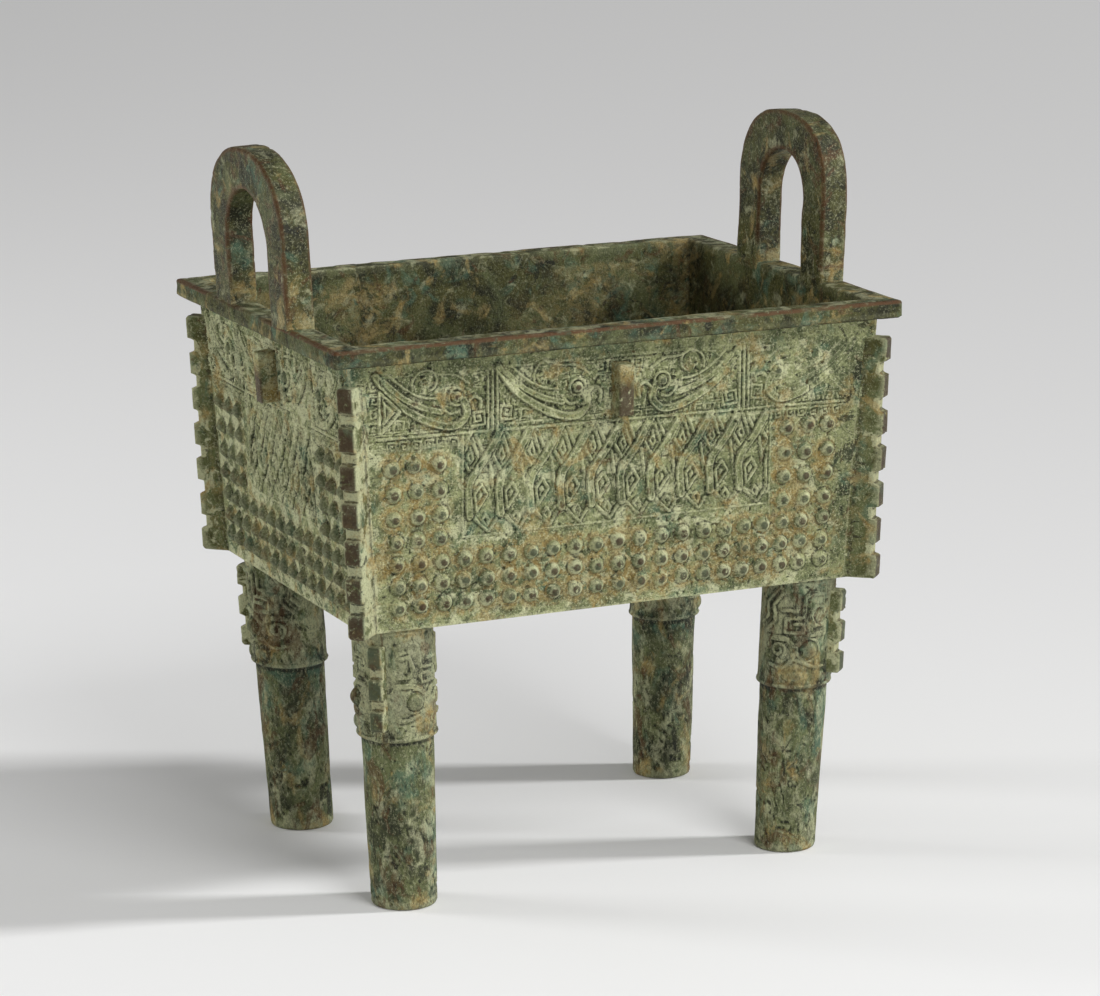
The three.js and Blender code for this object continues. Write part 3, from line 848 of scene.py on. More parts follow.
def carve_wall(wall, low, high, cell, part):
    """One slab of a wall, from its carving to a finished piece."""
    field = Field(wall.low_width, wall.high_width, low, high, wall.height, cell)
    carve_bosses(field, wall)
    carve_panel(field, wall)
    carve_frieze(field, wall)
    flat = wall.point(field.u.ravel(), field.v.ravel(), np.zeros(field.u.size))
    # Where the crust has eaten into the carving it has lost its sharpness
    eaten = ease(noise(flat, 19, 11) + 0.6 * noise(flat, 7, 12), 0.3, 1.3).reshape(field.u.shape)
    if wall.turn == 0:
        base = wall.height - mm("frieze")
        faded = ease(field.u, 28, 70) * ease(field.v, base - 1, base + 6)
        eaten = np.maximum(eaten, 0.95 * faded)
    soft = field.blurred(int(round(WEAR_REACH / cell)))
    field.height = field.height * (1 - 0.75 * eaten) + soft * 0.75 * eaten
    field.height *= ease(field.width_at(field.v) / 2 - np.abs(field.u), 0.5, 3.0)
    piece = make_piece(slab(field.columns, field.rows), f"{wall.name}_{part}")
    mesh = piece.data
    p = places(mesh)
    column = np.rint((p[:, 0] + 0.5) * field.columns).astype(int)
    row = np.rint((p[:, 1] + 0.5) * field.rows).astype(int)
    sunk = p[:, 2] < -0.5
    u, v = field.u[row, column], field.v[row, column]
    put(mesh, wall.point(u, v, np.where(sunk, -SLAB_DEPTH, field.height[row, column])))
    face_out(mesh)
    border = (row == 0) | (row == field.rows) | (column == 0) | (column == field.columns)
    weathered(piece, 0.16, 0.4, 21, np.where(border | sunk, 0.0, 1.0))
    write_edges(mesh, max(int(round((WEAR_REACH / cell) ** 2)), 3))
    # On the left wall the bosses hold little earth and are darker than their ground: partly their own dark
    # tarnish, partly painted shade for relief that the light there leaves flat
    left = wall.turn == 3
    write_layer(mesh, "earth", np.where(sunk, 0, field.earth[row, column] * (0.35 if left else 1)))
    # The crust is thin beside the right corner, and a strip under the lip loses its crust as painted shade
    # of the lip
    margin = ease(u, wall.low_width / 2 - 14, wall.low_width / 2 - 5) * (1 if wall.long else 0.4)
    thin_crust_and_lip_shade = np.maximum(0.9 * margin, 0.6 * ease(v, wall.height - 7, wall.height - 2))
    domes = np.maximum(field.chalk, field.worn)[row, column]
    # Painted shade: on the left wall each boss loses its crust
    boss_chalk_and_shade = domes * (-1.0 if left else 0.15)
    write_layer(mesh, "chalk", np.where(sunk, 0, boss_chalk_and_shade - thin_crust_and_lip_shade))
    write_layer(mesh, "stain", margin)
    # Painted shade: on the left wall dark tarnish covers the whole boss, not just its worn tip
    write_layer(mesh, "worn", np.where(sunk, 0, 0.6 * domes if left else field.worn[row, column]))
    if left:
        dress(piece, cast_patina("bronze_left_wall_verdigris_painted_shade", LEFT_WALL_SHADED_BOSS_LOOK), 80)
    else:
        dress(piece, cast_patina("bronze_wall_verdigris", WALL_LOOK), 80)


# The size of one face of each wall's relief in millimetres, smaller still on the frieze
WALL_CELLS = {"front": 0.37, "right": 0.56, "back": 0.6, "left": 0.46}
FRIEZE_FINENESS = 0.9
# From the frieze's lower line down to the seam between a wall's two slabs
SEAM_DROP = 2.6


class DING_OT_walls(bpy.types.Operator):
    """Carve the four walls: bosses, the panel of hooks and the frieze of dragons"""

    bl_idname = "ding.walls"
    bl_label = "Carved walls"

    def execute(self, context):
        for turn, (name, cell) in enumerate(WALL_CELLS.items()):
            wall = Wall(name + "_wall", turn)
            seam = wall.height - mm("frieze") - SEAM_DROP
            carve_wall(wall, 0, seam, cell, "field")
            carve_wall(wall, seam, wall.height, cell * FRIEZE_FINENESS, "frieze")
        return {"FINISHED"}


# The basin behind the carving: lip, inner walls, floor and underside


# How many rings lie on the inner walls, on the lip's top, on its edge and on the wall behind the carving
INNER_STEPS, LIP_STEPS, EDGE_STEPS, BACK_STEPS = 46, 6, 4, 4
# How far the lip's upper edge is rounded, and how far the outer wall stands back behind the carving
LIP_ROUND = 0.9
SET_BACK = 1.2


def between(start, end, steps):
    """Rings between two rings, with the last one."""
    return [tuple(a + (b - a) * i / steps for a, b in zip(start, end)) for i in range(1, steps + 1)]


def plate(half_x, half_y, z, shares):
    """Rings over a flat rectangle, each at a share of the way out from its middle line."""
    return [(half_x - half_y * (1 - share), half_y * share, z) for share in shares]


def basin_profile():
    """Half length, half width and height of each ring, from the floor's middle out and over the lip."""
    ground, rise = mm("leg_height"), mm("wall_height")
    half_x, half_y = mm("top_length") / 2, mm("top_width") / 2
    lean_x, lean_y = mm("short_lean"), mm("long_lean")
    wall, lip = mm("wall"), mm("lip")
    brim = ground + rise
    mouth, floor = brim + lip, ground + mm("floor")

    def inner(z):
        drop = (brim - z) / rise
        return half_x - wall - lean_x * drop, half_y - wall - lean_y * drop, z

    low, top = inner(floor), inner(mouth)
    edge_x, edge_y = half_x + mm("lip_length_overhang"), half_y + mm("lip_width_overhang")
    edge, corner = edge_x - LIP_ROUND, edge_y - LIP_ROUND
    foot_x, foot_y = half_x - lean_x, half_y - lean_y
    rings = plate(low[0], low[1], floor, (0.04, 0.2, 0.4, 0.6, 0.75, 0.87, 0.95))
    rings += [(low[0] - 1.2, low[1] - 1.2, floor + 0.2), inner(floor + 1.2)]
    rings += between(inner(floor + 1.2), inner(mouth - 1.0), INNER_STEPS)
    rings += [(top[0] + 0.3, top[1] + 0.3, mouth - 0.3), (top[0] + 1.0, top[1] + 1.0, mouth)]
    rings += between(rings[-1], (edge, corner, mouth), LIP_STEPS)
    rings += [(edge_x - 0.25, edge_y - 0.25, mouth - 0.25), (edge_x, edge_y, mouth - LIP_ROUND),
              (edge_x, edge_y, mouth - 1.4)]
    rings += between(rings[-1], (edge_x, edge_y, brim + 0.7), EDGE_STEPS)
    rings += [(edge_x - 0.7, edge_y - 0.7, brim), (half_x - SET_BACK, half_y - SET_BACK, brim)]
    rings += between(rings[-1], (foot_x - SET_BACK, foot_y - SET_BACK, ground), BACK_STEPS)[:-1]
    rings += [(foot_x - 0.8, foot_y - 0.8, ground + 0.6), (foot_x - 1.3, foot_y - 1.3, ground)]
    return np.array(rings + plate(foot_x, foot_y, ground, (0.93, 0.8, 0.6, 0.4, 0.2, 0.04)))


# Faces along a long side and a short side of the basin
LONG_STEPS, SHORT_STEPS = 132, 96


def along_side(steps, crowding):
    """Places along a side from -1 to 1, crowded towards its ends."""
    t = np.arange(steps) / steps
    return 2 * (t - crowding * np.sin(2 * math.pi * t) / (2 * math.pi)) - 1


def rectangle_shares():
    """Places round a rectangle from -1 to 1 in x and y, closer together at the corners."""
    a, b = along_side(LONG_STEPS, 0.62), along_side(SHORT_STEPS, 0.62)
    x = np.concatenate([a, np.ones(SHORT_STEPS), -a, -np.ones(SHORT_STEPS)])
    y = np.concatenate([-np.ones(LONG_STEPS), b, np.ones(LONG_STEPS), -b])
    return x, y


# Nicks in the lip's outer edge: wall (0 front, 1 right, 2 back, 3 left), place along it, width and depth
LIP_NICKS = (
    (2, -52, 16, 1.1), (2, -34, 7, 0.8), (2, -69, 9, 0.7), (2, 20, 6, 0.6), (0, 31, 5, 0.7),
    (0, -58, 4, 0.5), (3, 18, 5, 0.7), (1, -22, 6, 0.6))


class DING_OT_basin(bpy.types.Operator):
    """Shape the basin's inside, its lip and its underside"""

    bl_idname = "ding.basin"
    bl_label = "Basin and lip"

    def execute(self, context):
        rings = basin_profile()
        around, along = 2 * (LONG_STEPS + SHORT_STEPS), len(rings) - 1
        piece = make_piece(tube(around, along), "basin")
        mesh = piece.data
        turn, ring = ring_numbers(mesh, around, along)
        share_x, share_y = rectangle_shares()
        x, y, z = rings[ring, 0] * share_x[turn], rings[ring, 1] * share_y[turn], rings[ring, 2]
        # The corners are a little round
        corner = (np.abs(share_x[turn]) > 0.9999) & (np.abs(share_y[turn]) > 0.9999)
        x -= np.sign(x) * np.where(corner, 0.3, 0)
        y -= np.sign(y) * np.where(corner, 0.3, 0)
        edge_x = mm("top_length") / 2 + mm("lip_length_overhang")
        edge_y = mm("top_width") / 2 + mm("lip_width_overhang")
        mouth = mm("leg_height") + mm("wall_height") + mm("lip")
        on_lip = ease(z, mouth - mm("lip") - 0.5, mouth - mm("lip") + 0.5)
        outer = on_lip * ease(np.maximum(np.abs(x) - edge_x, np.abs(y) - edge_y), -2.2, -0.5)
        for side, centre, width, depth in LIP_NICKS:
            far = ((x if side % 2 == 0 else y) - centre) / width * 2
            facing = [-y / edge_y, x / edge_x, y / edge_y, -x / edge_x][side]
            bite = depth * np.clip(1 - far ** 2, 0, 1) * outer * (facing > 0.9)
            z = z - 0.6 * bite * (z > mouth - 2)
            x = x - np.sign(x) * bite * (side % 2)
            y = y - np.sign(y) * bite * (1 - side % 2)
        put(mesh, np.stack([x, y, z], 1))
        face_out(mesh)
        weathered(piece, 0.22, 0.3, 41)
        write_edges(mesh, 3)
        points = places(mesh) / MM
        # Earth stays in the upright corners and in drifts on the walls
        from_corner = np.hypot(
            np.abs(points[:, 0]) - mm("top_length") / 2 + 8, np.abs(points[:, 1]) - mm("top_width") / 2 + 6)
        lining = 0.55 * ease(noise(points, 26, 48), -0.1, 0.5) * (1 - on_lip)
        earth = np.maximum(0.5 * ease(from_corner, 9, 3), lining)
        write_layer(mesh, "earth", earth * (points[:, 2] > mm("leg_height") + 3))
        # Hands have worn the lip's upper edge
        brink = np.hypot(rings[ring, 0] - edge_x + 0.25, rings[ring, 2] - mouth + 0.25)
        write_layer(mesh, "worn", (brink < 0.8) * ease(noise(points, 14, 47), -0.6, 0.0))
        write_layer(mesh, "chalk", np.where(points[:, 2] > mouth - 0.6, 0.45, -0.5 * outer))
        dress(piece, cast_patina("bronze_basin_patina", BASIN_LOOK), 60)
        return {"FINISHED"}


# Flanges and ribs


# How round a flange's outer edges are, and how far its foot goes into what it stands on
FLANGE_ROUND = 0.8
FLANGE_FOOT = 1.1


def flange_section(thick, fillet):
    """A flange's cross-section: the share of its reach, a fixed step outwards, and the place across."""
    w, r = thick / 2, FLANGE_ROUND
    half = [
        (0.0, -w - FLANGE_FOOT, 0.35 * w), (0.0, -w - FLANGE_FOOT, w), (0.0, -w - fillet, w + 0.9 * fillet),
        (0.0, -w - 0.35 * fillet, w + 0.5 * fillet), (0.0, -w + 0.3 * fillet, w + 0.18 * fillet),
        (0.0, -w + fillet, w + 0.03 * fillet), (0.0, 0.0, w), (0.5, -0.4 * r, w), (1.0, -r, w),
        (1.0, -0.45 * r, w - 0.1 * r), (1.0, -0.12 * r, w - 0.42 * r), (1.0, 0.0, w - r),
        (1.0, 0.0, 0.5 * (w - r)),
    ]
    loop = half + [(1.0, 0.0, 0.0)] + [(a, b, -c) for a, b, c in reversed(half)]
    return np.array(loop)


# Teeth on a corner flange and on a leg's small flange, and the share of a tooth and its notch that is tooth
CORNER_TEETH, LEG_TEETH = 7, 3
TOOTH_SHARE = 0.64
# How deep the ribs and the legs' tops go into the casting
ROOT = 1.2


def make_flange(name, origin, slope, azimuth, ends, reach, teeth, thick, fillet, cell, chalk, patina):
    """A toothed flange that stands on a line and points away along an azimuth."""
    section = flange_section(thick, fillet)
    low, high = ends
    around, along = len(section), int(round((high - low) / cell))
    piece = make_piece(tube(around, along), name)
    mesh = piece.data
    turn, ring = ring_numbers(mesh, around, along)
    share = ring / along
    z = low + (high - low) * share
    pitch = 1 / (teeth - 1 + TOOTH_SHARE)
    phase = np.mod(share, pitch) / pitch
    soft = 0.55 / (pitch * (high - low))
    notch = ease(phase, TOOTH_SHARE - soft, TOOTH_SHARE + soft / 2) * ease(phase, 1 + soft / 2, 1 - soft)
    notch *= (share < 1 - pitch * 0.5)
    # No two teeth reach quite as far, and the flange's ends are rounded off
    tooth = lattice_random(np.floor(share / pitch).astype(np.int64), 0, 0, len(name)) - 0.5
    end = ease(np.minimum(share, 1 - share) * (high - low), -0.1, 0.9)
    reach_here = reach[0] + (reach[1] - reach[0]) * share
    out = reach_here * (1 - 0.1 * tooth) - mm("notch") * notch - 0.7 * (1 - end)
    step = section[turn, 0] * out + section[turn, 1]
    across = section[turn, 2] * (1 - 0.12 * (1 - end) - 0.06 * notch * (section[turn, 0] > 0.4))
    c, s = math.cos(azimuth), math.sin(azimuth)
    x = origin[0] + slope[0] * z + step * c + across * s
    y = origin[1] + slope[1] * z + step * s - across * c
    put(mesh, np.stack([x, y, origin[2] + z], 1))
    face_out(mesh)
    weathered(piece, 0.14, 0.25, 61)
    write_edges(mesh, 3)
    front = ease(section[turn, 0], 0.9, 1.0)
    front *= ease(np.abs(section[turn, 2]), thick / 2, thick / 2 - FLANGE_ROUND)
    write_layer(mesh, "worn", front * (1 - notch))
    write_layer(mesh, "earth", 0.1 * ease(section[turn, 0], 0.2, 0.0) + 0.25 * notch)
    # The notches' floors are pale
    floor_chalk = notch * (section[turn, 0] > 0.6)
    write_layer(mesh, "chalk", chalk * (1 - front) * (1 - floor_chalk) + 1.3 * floor_chalk)
    dress(piece, patina, 60)


CORNERS = ((1, 1, "back_right"), (-1, 1, "back_left"), (-1, -1, "front_left"), (1, -1, "front_right"))
# How much more, or less, pale crust lies on a corner flange than elsewhere
FLANGE_CHALK = {"front_left": 0.6, "back_left": 0.1, "back_right": -0.15, "front_right": -0.15}


class DING_OT_flanges(bpy.types.Operator):
    """Set a toothed flange on each corner and a plain rib on each frieze"""

    bl_idname = "ding.flanges"
    bl_label = "Flanges and ribs"

    def execute(self, context):
        rise = mm("wall_height")
        high = rise - mm("flange_drop")
        slope = (mm("short_lean") / rise, mm("long_lean") / rise)
        half_x = mm("top_length") / 2 - mm("short_lean")
        half_y = mm("top_width") / 2 - mm("long_lean")
        reach = (mm("flange_bottom_reach"), mm("flange_top_reach"))
        for x, y, name in CORNERS:
            make_flange(
                f"corner_flange_{name}", (x * half_x, y * half_y, mm("leg_height")),
                (x * slope[0], y * slope[1]), math.atan2(y, x), (0, high), reach, CORNER_TEETH,
                mm("flange"), 0.9, 0.5, FLANGE_CHALK[name],
                cast_patina("bronze_flange_verdigris", FLANGE_LOOK))
        for turn, name in enumerate(WALL_CELLS):
            make_rib(Wall(name, turn), f"frieze_rib_{name}", high)
        return {"FINISHED"}


def make_rib(wall, name, high):
    """A plain upright bar on the frieze, rounded by wear."""
    bm = bmesh.new()
    bmesh.ops.create_cube(bm, size=1)
    size = (mm("rib_width"), mm("rib_reach") + ROOT, mm("rib_height"))
    bmesh.ops.scale(bm, verts=bm.verts, vec=size)
    bmesh.ops.translate(bm, verts=bm.verts, vec=(0, size[1] / 2 - ROOT, high - size[2] / 2))
    bmesh.ops.subdivide_edges(bm, edges=bm.edges, cuts=5, use_grid_fill=True)
    hard = [e for e in bm.edges if e.calc_face_angle(0) > 1]
    bmesh.ops.bevel(bm, geom=hard, offset=0.8, offset_type="OFFSET", affect="EDGES", segments=3,
                    profile=0.5, material=-1)
    piece = make_piece(bm, name)
    mesh = piece.data
    p = places(mesh)
    taper = 1 - 0.1 * ease(p[:, 1], 0, size[1])
    put(mesh, wall.point(p[:, 0] * taper, p[:, 2], p[:, 1]))
    face_out(mesh)
    weathered(piece, 0.18, 0.2, 71)
    write_edges(mesh, 2)
    rubbed = ease(p[:, 1], mm("rib_reach") - 1.2, mm("rib_reach") - 0.2)
    write_layer(mesh, "worn", rubbed * ease(high - p[:, 2], 5, 7))
    write_layer(mesh, "earth", 0.9 * ease(p[:, 1], mm("rib_reach") * 0.9, 0))
    dress(piece, cast_patina("bronze_rib_patina", RIB_LOOK), 60)


# Legs


def carve_mask(field, radius, tall):
    """An animal mask either side of the flange: horn, brow, round eye, jaw and scrolls."""
    for side in (-1, 1):
        def at(degrees, share, side=side):
            return (side * math.radians(degrees) * radius, share * tall)

        eye = at(52, 0.36)
        horn = [
            [at(30, 0.86), at(52, 0.88), at(60, 0.84), at(62, 0.66), at(90, 0.64), at(90, 0.52),
             at(62, 0.52), at(62, 0.60), at(76, 0.60)],
            [at(70, 0.86), at(72, 0.72), at(98, 0.72)],
            [at(96, 0.88), at(112, 0.76), at(108, 0.62), at(126, 0.52)],
            [at(106, 0.90), at(124, 0.78), at(122, 0.66), at(136, 0.58)],
            [at(30, 0.74), at(44, 0.76), at(50, 0.66), at(44, 0.58), at(28, 0.58)],
        ]
        brow = curve([at(24, 0.50), at(44, 0.50), at(62, 0.455), at(74, 0.40), at(88, 0.46),
                      at(112, 0.46)], 5)
        cheek = curve([at(26, 0.20), at(42, 0.20), at(62, 0.25), at(76, 0.27), at(92, 0.20),
                       at(116, 0.22)], 5)
        ear = arc(at(100, 0.36), (3.0, 1.0), -60, 400)
        field.band([brow], 1.6, 0.8, 0.8, 0.3)
        field.raise_lines(horn, 1.1, 0.85)
        field.raise_lines([cheek, ear], 1.2, 0.8)
        field.bump(*at(72, 0.12), 5.2, 2.5, 1.1, 2.6)
        field.bump(*at(24, 0.10), 3.0, 2.6, 0.9, 2.4)
        ring = field.distance([[eye, eye]], 7.0)
        field.height = np.maximum(field.height, 0.4 * on_stroke(np.abs(ring - 4.1), 0.9, 0.4))
        field.bump(*eye, 3.6, 3.6, 2.4, 2.1)
        from_jaw = field.distance([[at(70, 0.13), at(84, 0.13)]], 6)
        field.earth = np.maximum(field.earth, 0.8 * ease(from_jaw, 5, 1.5))
    girth = math.pi * radius
    rims = [[(-girth, tall * share), (girth, tall * share)] for share in (0.025, 0.965)]
    field.raise_lines(rims, 1.0, 0.45)


# Each leg differs a little from the next: how far it stands off its corner along X, and how stout it is
LEG_SHIFT = {"back_right": 0.6, "back_left": 0.4, "front_left": -0.3, "front_right": 1.2}
LEG_STOUTNESS = {"back_right": 0.98, "back_left": 1.03, "front_left": 1.025, "front_right": 0.985}
# How much pale crust lies on each leg's sleeve
SLEEVE_CHALK = {"back_right": 0.4, "back_left": 0.4, "front_left": 0.8, "front_right": 0.4}
# Faces round a leg and the size of one on its sleeve, on the front legs and on the back ones
FRONT_LEG_FACES, BACK_LEG_FACES = (176, 0.46), (144, 0.55)
# How much longer the faces are on the plain shaft, and the depth of its craters
SHAFT_COARSENESS = 2.2
CRATER_DEPTH = 0.55


def make_leg(x, y, name, around, cell):
    """A round leg with its sleeve, mask and flange."""
    ground_to_sleeve = mm("leg_height") - mm("sleeve_height")
    stout = LEG_STOUTNESS[name]
    foot, shaft, sleeve = (
        stout * mm(k) / 2 for k in ("foot_diameter", "shaft_diameter", "sleeve_diameter"))
    azimuth = math.atan2(y, x)
    tall = mm("sleeve_height")
    rings = [(foot * 0.5, 0.0), (foot - 1.4, 0.0), (foot - 0.4, 0.3), (foot, 1.2)]
    steps = int((ground_to_sleeve - 2) / (cell * SHAFT_COARSENESS))
    rings += between(rings[-1], (shaft, ground_to_sleeve - 0.5), steps)
    rings += [(shaft + 0.35, ground_to_sleeve - 0.15), (sleeve - 0.35, ground_to_sleeve + 0.1)]
    first = len(rings)
    girth = 2 * math.pi * sleeve
    field = Field(girth, girth, 0.5, tall + ROOT, tall, cell, around)
    carve_mask(field, sleeve, tall)
    rings += [(sleeve, ground_to_sleeve + v) for v in field.v[:, 0]]
    rings = np.array(rings)
    along = len(rings) - 1
    piece = make_piece(tube(around, along), f"leg_{name}")
    mesh = piece.data
    turn, ring = ring_numbers(mesh, around, along)
    row = np.clip(ring - first, 0, field.rows)
    on_sleeve = ring >= first
    # Each leg takes its wear from another stretch of the noise
    flat = np.stack([field.u.ravel(), field.v.ravel() + 300 * x + 150 * y, np.zeros(field.u.size)], 1)
    eaten = ease(noise(flat, 11, 13) + 0.5 * noise(flat, 5, 14), 0.1, 1.1).reshape(field.u.shape)
    field.height = field.height * (1 - 0.8 * eaten) + field.blurred(2) * 0.8 * eaten
    radius = rings[ring, 0] + np.where(on_sleeve, field.height[row, turn], 0)
    angle = azimuth + (turn / around - 0.5) * 2 * math.pi
    z = rings[ring, 1]
    lean = mm("leg_lean") * (1 - z / mm("leg_height"))
    top_x = mm("top_length") / 2 - mm("short_lean") - mm("leg_inset_x")
    top_y = mm("top_width") / 2 - mm("long_lean") - mm("leg_inset_y")
    px = x * (top_x - lean) + radius * np.cos(angle) + LEG_SHIFT[name]
    py = y * (top_y - lean) + radius * np.sin(angle)
    put(mesh, np.stack([px, py, z], 1))
    face_out(mesh)
    weathered(piece, 0.2, 0.4, 81, ease(z, 0.2, 2.0))
    # Rings of small craters, mostly on the lower shaft
    points = places(mesh) / MM
    rim = on_stroke(np.abs(noise(points, 2.6, 83) - 0.36), 0.22, 0.16)
    rim *= ease(noise(points, 9, 84), -0.1, 0.25) * (0.3 + 0.7 * ease(z, 42, 24))
    rim *= ease(z, 1.5, 3.0) * ease(z, ground_to_sleeve - 1, ground_to_sleeve - 3)
    put(mesh, points - normals_of(mesh) * CRATER_DEPTH * rim[:, None])
    write_edges(mesh, 6)
    write_layer(mesh, "worn", np.where(on_sleeve, 0.35 * field.worn[row, turn], 0))
    write_layer(mesh, "earth", np.where(on_sleeve, field.earth[row, turn], 0))
    domes = np.where(on_sleeve, np.maximum(field.chalk, field.worn)[row, turn], 0)
    pale = SLEEVE_CHALK[name] * ease(z, ground_to_sleeve - 2, ground_to_sleeve + 4)
    write_layer(mesh, "chalk", pale - 1.2 * domes)
    write_layer(mesh, "stain", 0.6 * ease(np.abs(z - ground_to_sleeve - 2), 9, 2))
    dress(piece, cast_patina("bronze_leg_patina", LEG_LOOK), 70)
    slope = mm("leg_lean") / mm("leg_height")
    high = mm("leg_height") - mm("leg_flange_drop")
    origin = (x * (top_x - mm("leg_lean")) + sleeve * math.cos(azimuth) + LEG_SHIFT[name],
              y * (top_y - mm("leg_lean")) + sleeve * math.sin(azimuth), 0)
    make_flange(
        f"leg_flange_{name}", origin, (x * slope, y * slope), azimuth,
        (high - mm("leg_flange_height"), high), (mm("leg_flange_reach"), mm("leg_flange_reach")),
        LEG_TEETH, mm("leg_flange"), 0.5, 0.45, 0.4,
        cast_patina("bronze_leg_flange_patina", LEG_FLANGE_LOOK))


class DING_OT_legs(bpy.types.Operator):
    """Shape the four round legs with their masks and small flanges"""

    bl_idname = "ding.legs"
    bl_label = "Legs"

    def execute(self, context):
        for x, y, name in CORNERS:
            make_leg(x, y, name, *(FRONT_LEG_FACES if y < 0 else BACK_LEG_FACES))
        return {"FINISHED"}


# Handles


def rounded_square(around, radius):
    """Points round a square from -1 to 1 with small round corners, closer together at the corners."""
    side = along_side(around // 4, 0.75)
    one = np.ones(around // 4)
    x, y = np.concatenate([one, -side, -one, side]), np.concatenate([side, one, -side, -one])
    core_x, core_y = np.clip(x, radius - 1, 1 - radius), np.clip(y, radius - 1, 1 - radius)
    far = np.hypot(x - core_x, y - core_y)
    return core_x + (x - core_x) / far * radius, core_y + (y - core_y) / far * radius


# Faces round a handle's bar, up one of its legs and over its arch
HANDLE_AROUND, HANDLE_UP, HANDLE_BEND = 48, 26, 72
# How round its edges are as a share of half its bar, and how far it leans out
HANDLE_ROUND = 0.16
HANDLE_LEAN = math.radians(2.4)
# How far its sides stand back from the lip's edge, and how deep its feet go into the lip
HANDLE_SETBACK, HANDLE_ROOT = 0.2, 3.0


def make_handle(name, side, width, shift, squareness):
    """An upright arch of near-square section, its edges rounded by wear."""
    width, tall, arch = width / 2, mm("handle_height"), mm("handle_arch")
    opening = width - mm("handle_bar")
    loop_top = tall - mm("handle_top_bar")
    loop_spring, spring = loop_top - opening, tall - arch
    breadth = mm("lip_length_overhang") + mm("wall") - 2 * HANDLE_SETBACK
    # 0 to 1 up the first leg, 1 to 2 over the arch and 2 to 3 down the other leg
    shares = np.concatenate([
        np.linspace(0, 1, HANDLE_UP, endpoint=False), np.linspace(1, 2, HANDLE_BEND, endpoint=False),
        np.linspace(2, 3, HANDLE_UP + 1)])
    angle = np.clip(shares - 1, 0, 1) * math.pi
    rise = np.clip(np.where(shares < 1, shares, 3 - shares), 0, 1)

    def rail(half, springing, top, power):
        c, s = np.cos(angle), np.sin(angle)
        across = half * np.sign(c) * np.abs(c) ** (2 / power)
        over = springing + (top - springing) * np.abs(s) ** (2 / power)
        straight = -HANDLE_ROOT + (springing + HANDLE_ROOT) * rise
        return across, np.where((shares >= 1) & (shares <= 2), over, straight)

    inner, outer = rail(opening, loop_spring, loop_top, 2.0), rail(width, spring, tall, squareness)
    along = len(shares) - 1
    piece = make_piece(tube(HANDLE_AROUND, along), name)
    mesh = piece.data
    turn, ring = ring_numbers(mesh, HANDLE_AROUND, along)
    a, b = (places_round[turn] for places_round in rounded_square(HANDLE_AROUND, HANDLE_ROUND))
    part = (a + 1) / 2
    across = inner[0][ring] * (1 - part) + outer[0][ring] * part
    high = inner[1][ring] * (1 - part) + outer[1][ring] * part
    out = b * breadth / 2
    c, s = math.cos(HANDLE_LEAN), math.sin(HANDLE_LEAN)
    foot = mm("top_length") / 2 + mm("lip_length_overhang") - HANDLE_SETBACK - breadth / 2
    z = mm("leg_height") + mm("wall_height") + mm("lip") + high * c - out * s
    put(mesh, np.stack([side * (foot + out * c + high * s), side * across + shift, z], 1))
    face_out(mesh)
    weathered(piece, 0.28, 0.3, 91)
    write_edges(mesh, 3)
    corner = np.abs(a) * np.abs(b)
    write_layer(mesh, "worn", 0.75 * ease(corner, 0.72, 0.86) * ease(high, 3, 12))
    # Earth and chalk stay at the feet, on the faces along the lip
    foot_earth = ease(high, 10, 1) * ease(np.abs(a), 0.85, 0.99)
    write_layer(mesh, "earth", 0.9 * foot_earth)
    write_layer(mesh, "chalk", 0.5 * foot_earth)
    dress(piece, cast_patina("bronze_handle_patina", SMOOTH_LOOK), 60)


class DING_OT_handles(bpy.types.Operator):
    """Raise the two arched handles over the short sides"""

    bl_idname = "ding.handles"
    bl_label = "Handles"

    def execute(self, context):
        # The last number says how square the arch is: 2 is round
        make_handle("handle_right", 1, mm("right_handle_width"), mm("right_handle_shift"), 2.5)
        make_handle("handle_left", -1, mm("left_handle_width"), mm("left_handle_shift"), 2.25)
        return {"FINISHED"}


# Stage


def matt_paper():
    """Seamless studio paper: fully matt, so it takes soft shadows and no reflections."""
    material = bpy.data.materials.new("matt_paper")
    material.use_nodes = True
    tree = material.node_tree
    tree.nodes.clear()
    shader = add(tree, "ShaderNodeBsdfPrincipled", {
        "Base Color": shade("paper"), "Roughness": 0.9, "Specular IOR Level": 0.2})
    add(tree, "ShaderNodeOutputMaterial", {"Surface": shader})
    return material


def soft_box(name, place, target, size, power):
    """A large rectangular studio light turned to a point."""
    light = bpy.data.lights.new(name, "AREA")
    light.shape = "RECTANGLE"
    light.size, light.size_y = size
    light.energy = power
    box = bpy.data.objects.new(name, light)
    box.location = place
    box.rotation_euler = (Vector(target) - Vector(place)).to_track_quat("-Z", "Y").to_euler()
    bpy.context.scene.collection.objects.link(box)
    return box


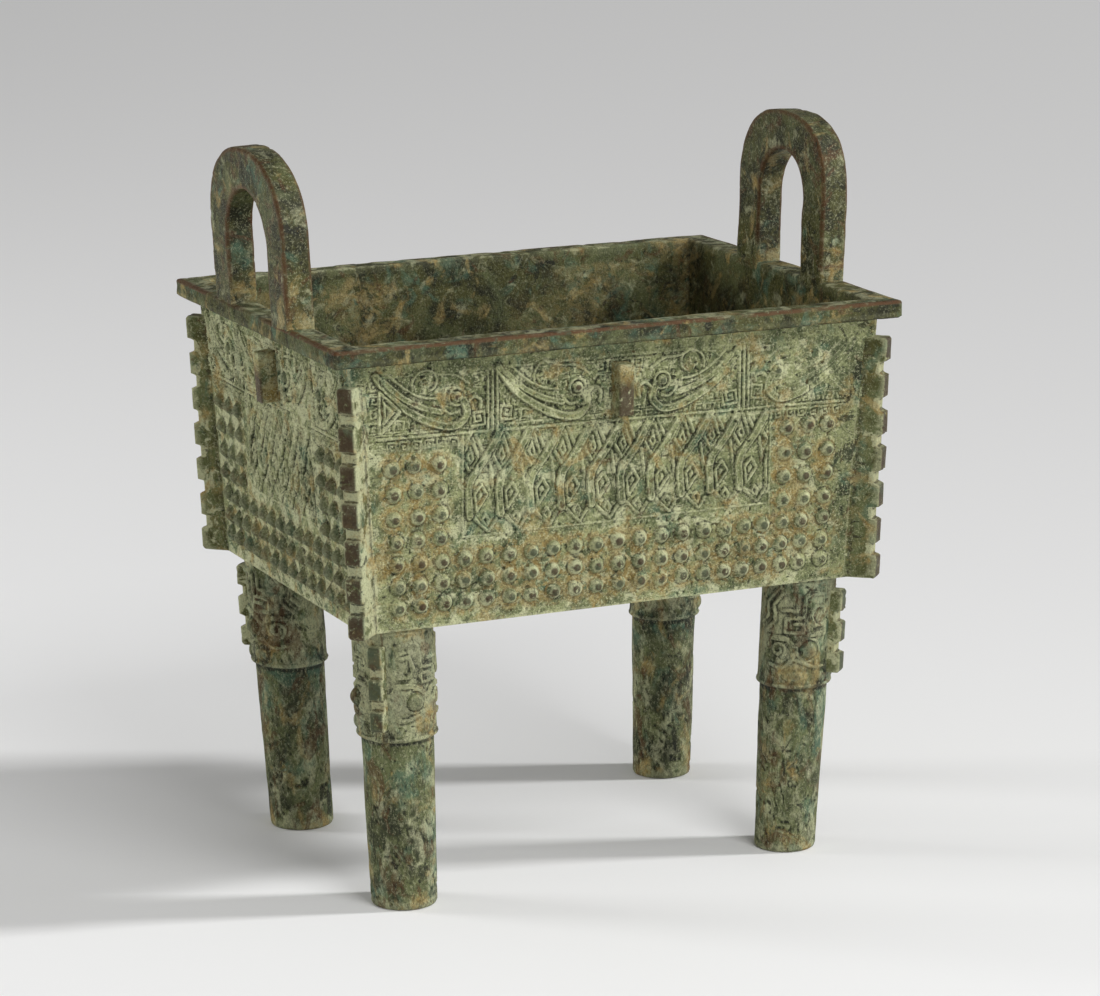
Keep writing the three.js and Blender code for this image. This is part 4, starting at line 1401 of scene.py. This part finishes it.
class DING_OT_stage(bpy.types.Operator):
    """Set the pale floor, the soft light and the camera"""

    bl_idname = "ding.stage"
    bl_label = "Stage"

    def execute(self, context):
        scene = context.scene
        bm = bmesh.new()
        bmesh.ops.create_grid(bm, x_segments=8, y_segments=8, size=9)
        floor = make_piece(bm, "studio_floor")
        floor.data.materials.append(matt_paper())
        world = bpy.data.worlds.new("studio")
        scene.world = world
        world.use_nodes = True
        world.node_tree.nodes.clear()
        sky = add(world.node_tree, "ShaderNodeBackground", {
            "Color": (1.0, 0.995, 0.985, 1), "Strength": 0.245})
        add(world.node_tree, "ShaderNodeOutputWorld", {"Surface": sky})
        soft_box("key", (12.0, -4.6, 7.6), (0, 0, 0.1), (1.55, 1.55), 1500)
        soft_box("front_top", (0.1, -1.05, 1.1), (0, -0.3, 0.0), (0.6, 0.5), 7.5)
        soft_box("front_low", (0.3, -2.3, 0.45), (0.05, 0.4, 0.0), (1.2, 0.5), 14)
        # The fill beside the left wall gives light without a sheen
        fill = soft_box("left_fill", (-1.4, 0.9, 0.4), (-0.1, -0.05, 0.15), (0.5, 0.5), 15)
        fill.visible_glossy = False
        camera = bpy.data.cameras.new("photograph")
        camera.sensor_width = SENSOR_WIDTH
        camera.lens = FOCAL_LENGTH
        camera.shift_x = SHIFT_RIGHT_PIXELS / IMAGE_WIDTH
        camera.shift_y = SHIFT_UP_PIXELS / IMAGE_WIDTH
        camera.clip_start, camera.clip_end = 0.05, 40
        view = bpy.data.objects.new("photograph", camera)
        scene.collection.objects.link(view)
        ahead = Vector((math.sin(CAMERA_YAW) * math.cos(CAMERA_DOWN),
                        math.cos(CAMERA_YAW) * math.cos(CAMERA_DOWN), -math.sin(CAMERA_DOWN)))
        level = Vector((math.cos(CAMERA_YAW), -math.sin(CAMERA_YAW), 0))
        upright = level.cross(ahead)
        right = math.cos(CAMERA_ROLL) * level + math.sin(CAMERA_ROLL) * upright
        up = math.cos(CAMERA_ROLL) * upright - math.sin(CAMERA_ROLL) * level
        turned = Matrix((right, up, -ahead)).transposed()
        view.location = CAMERA_PLACE
        view.rotation_euler = turned.to_euler()
        scene.camera = view
        scene.view_settings.view_transform = "Standard"
        return {"FINISHED"}


class DING_PT_panel(bpy.types.Panel):
    """Lists the parts of the ding and its sizes and colours"""

    bl_idname = "DING_PT_panel"
    bl_label = "Square bronze ding"
    bl_space_type = "VIEW_3D"
    bl_region_type = "UI"
    bl_category = "Ding"

    def draw(self, context):
        for step in STEPS:
            self.layout.operator(step.bl_idname)
        for group in (context.scene.ding_sizes, context.scene.ding_colours):
            for name in type(group).__annotations__:
                self.layout.prop(group, name)


STEPS = (DING_OT_basin, DING_OT_walls, DING_OT_flanges, DING_OT_legs, DING_OT_handles, DING_OT_stage)
CLASSES = (DingSizes, DingColours, *STEPS, DING_PT_panel)


def register():
    for item in CLASSES:
        bpy.utils.register_class(item)
    bpy.types.Scene.ding_sizes = bpy.props.PointerProperty(type=DingSizes)
    bpy.types.Scene.ding_colours = bpy.props.PointerProperty(type=DingColours)


def unregister():
    del bpy.types.Scene.ding_colours
    del bpy.types.Scene.ding_sizes
    for item in reversed(CLASSES):
        bpy.utils.unregister_class(item)


def main():
    """Makes the pieces and the stage."""
    register()
    bpy.ops.ding.basin()
    bpy.ops.ding.walls()
    bpy.ops.ding.flanges()
    bpy.ops.ding.legs()
    bpy.ops.ding.handles()
    bpy.ops.ding.stage()


if __name__ == "__main__":
    main()
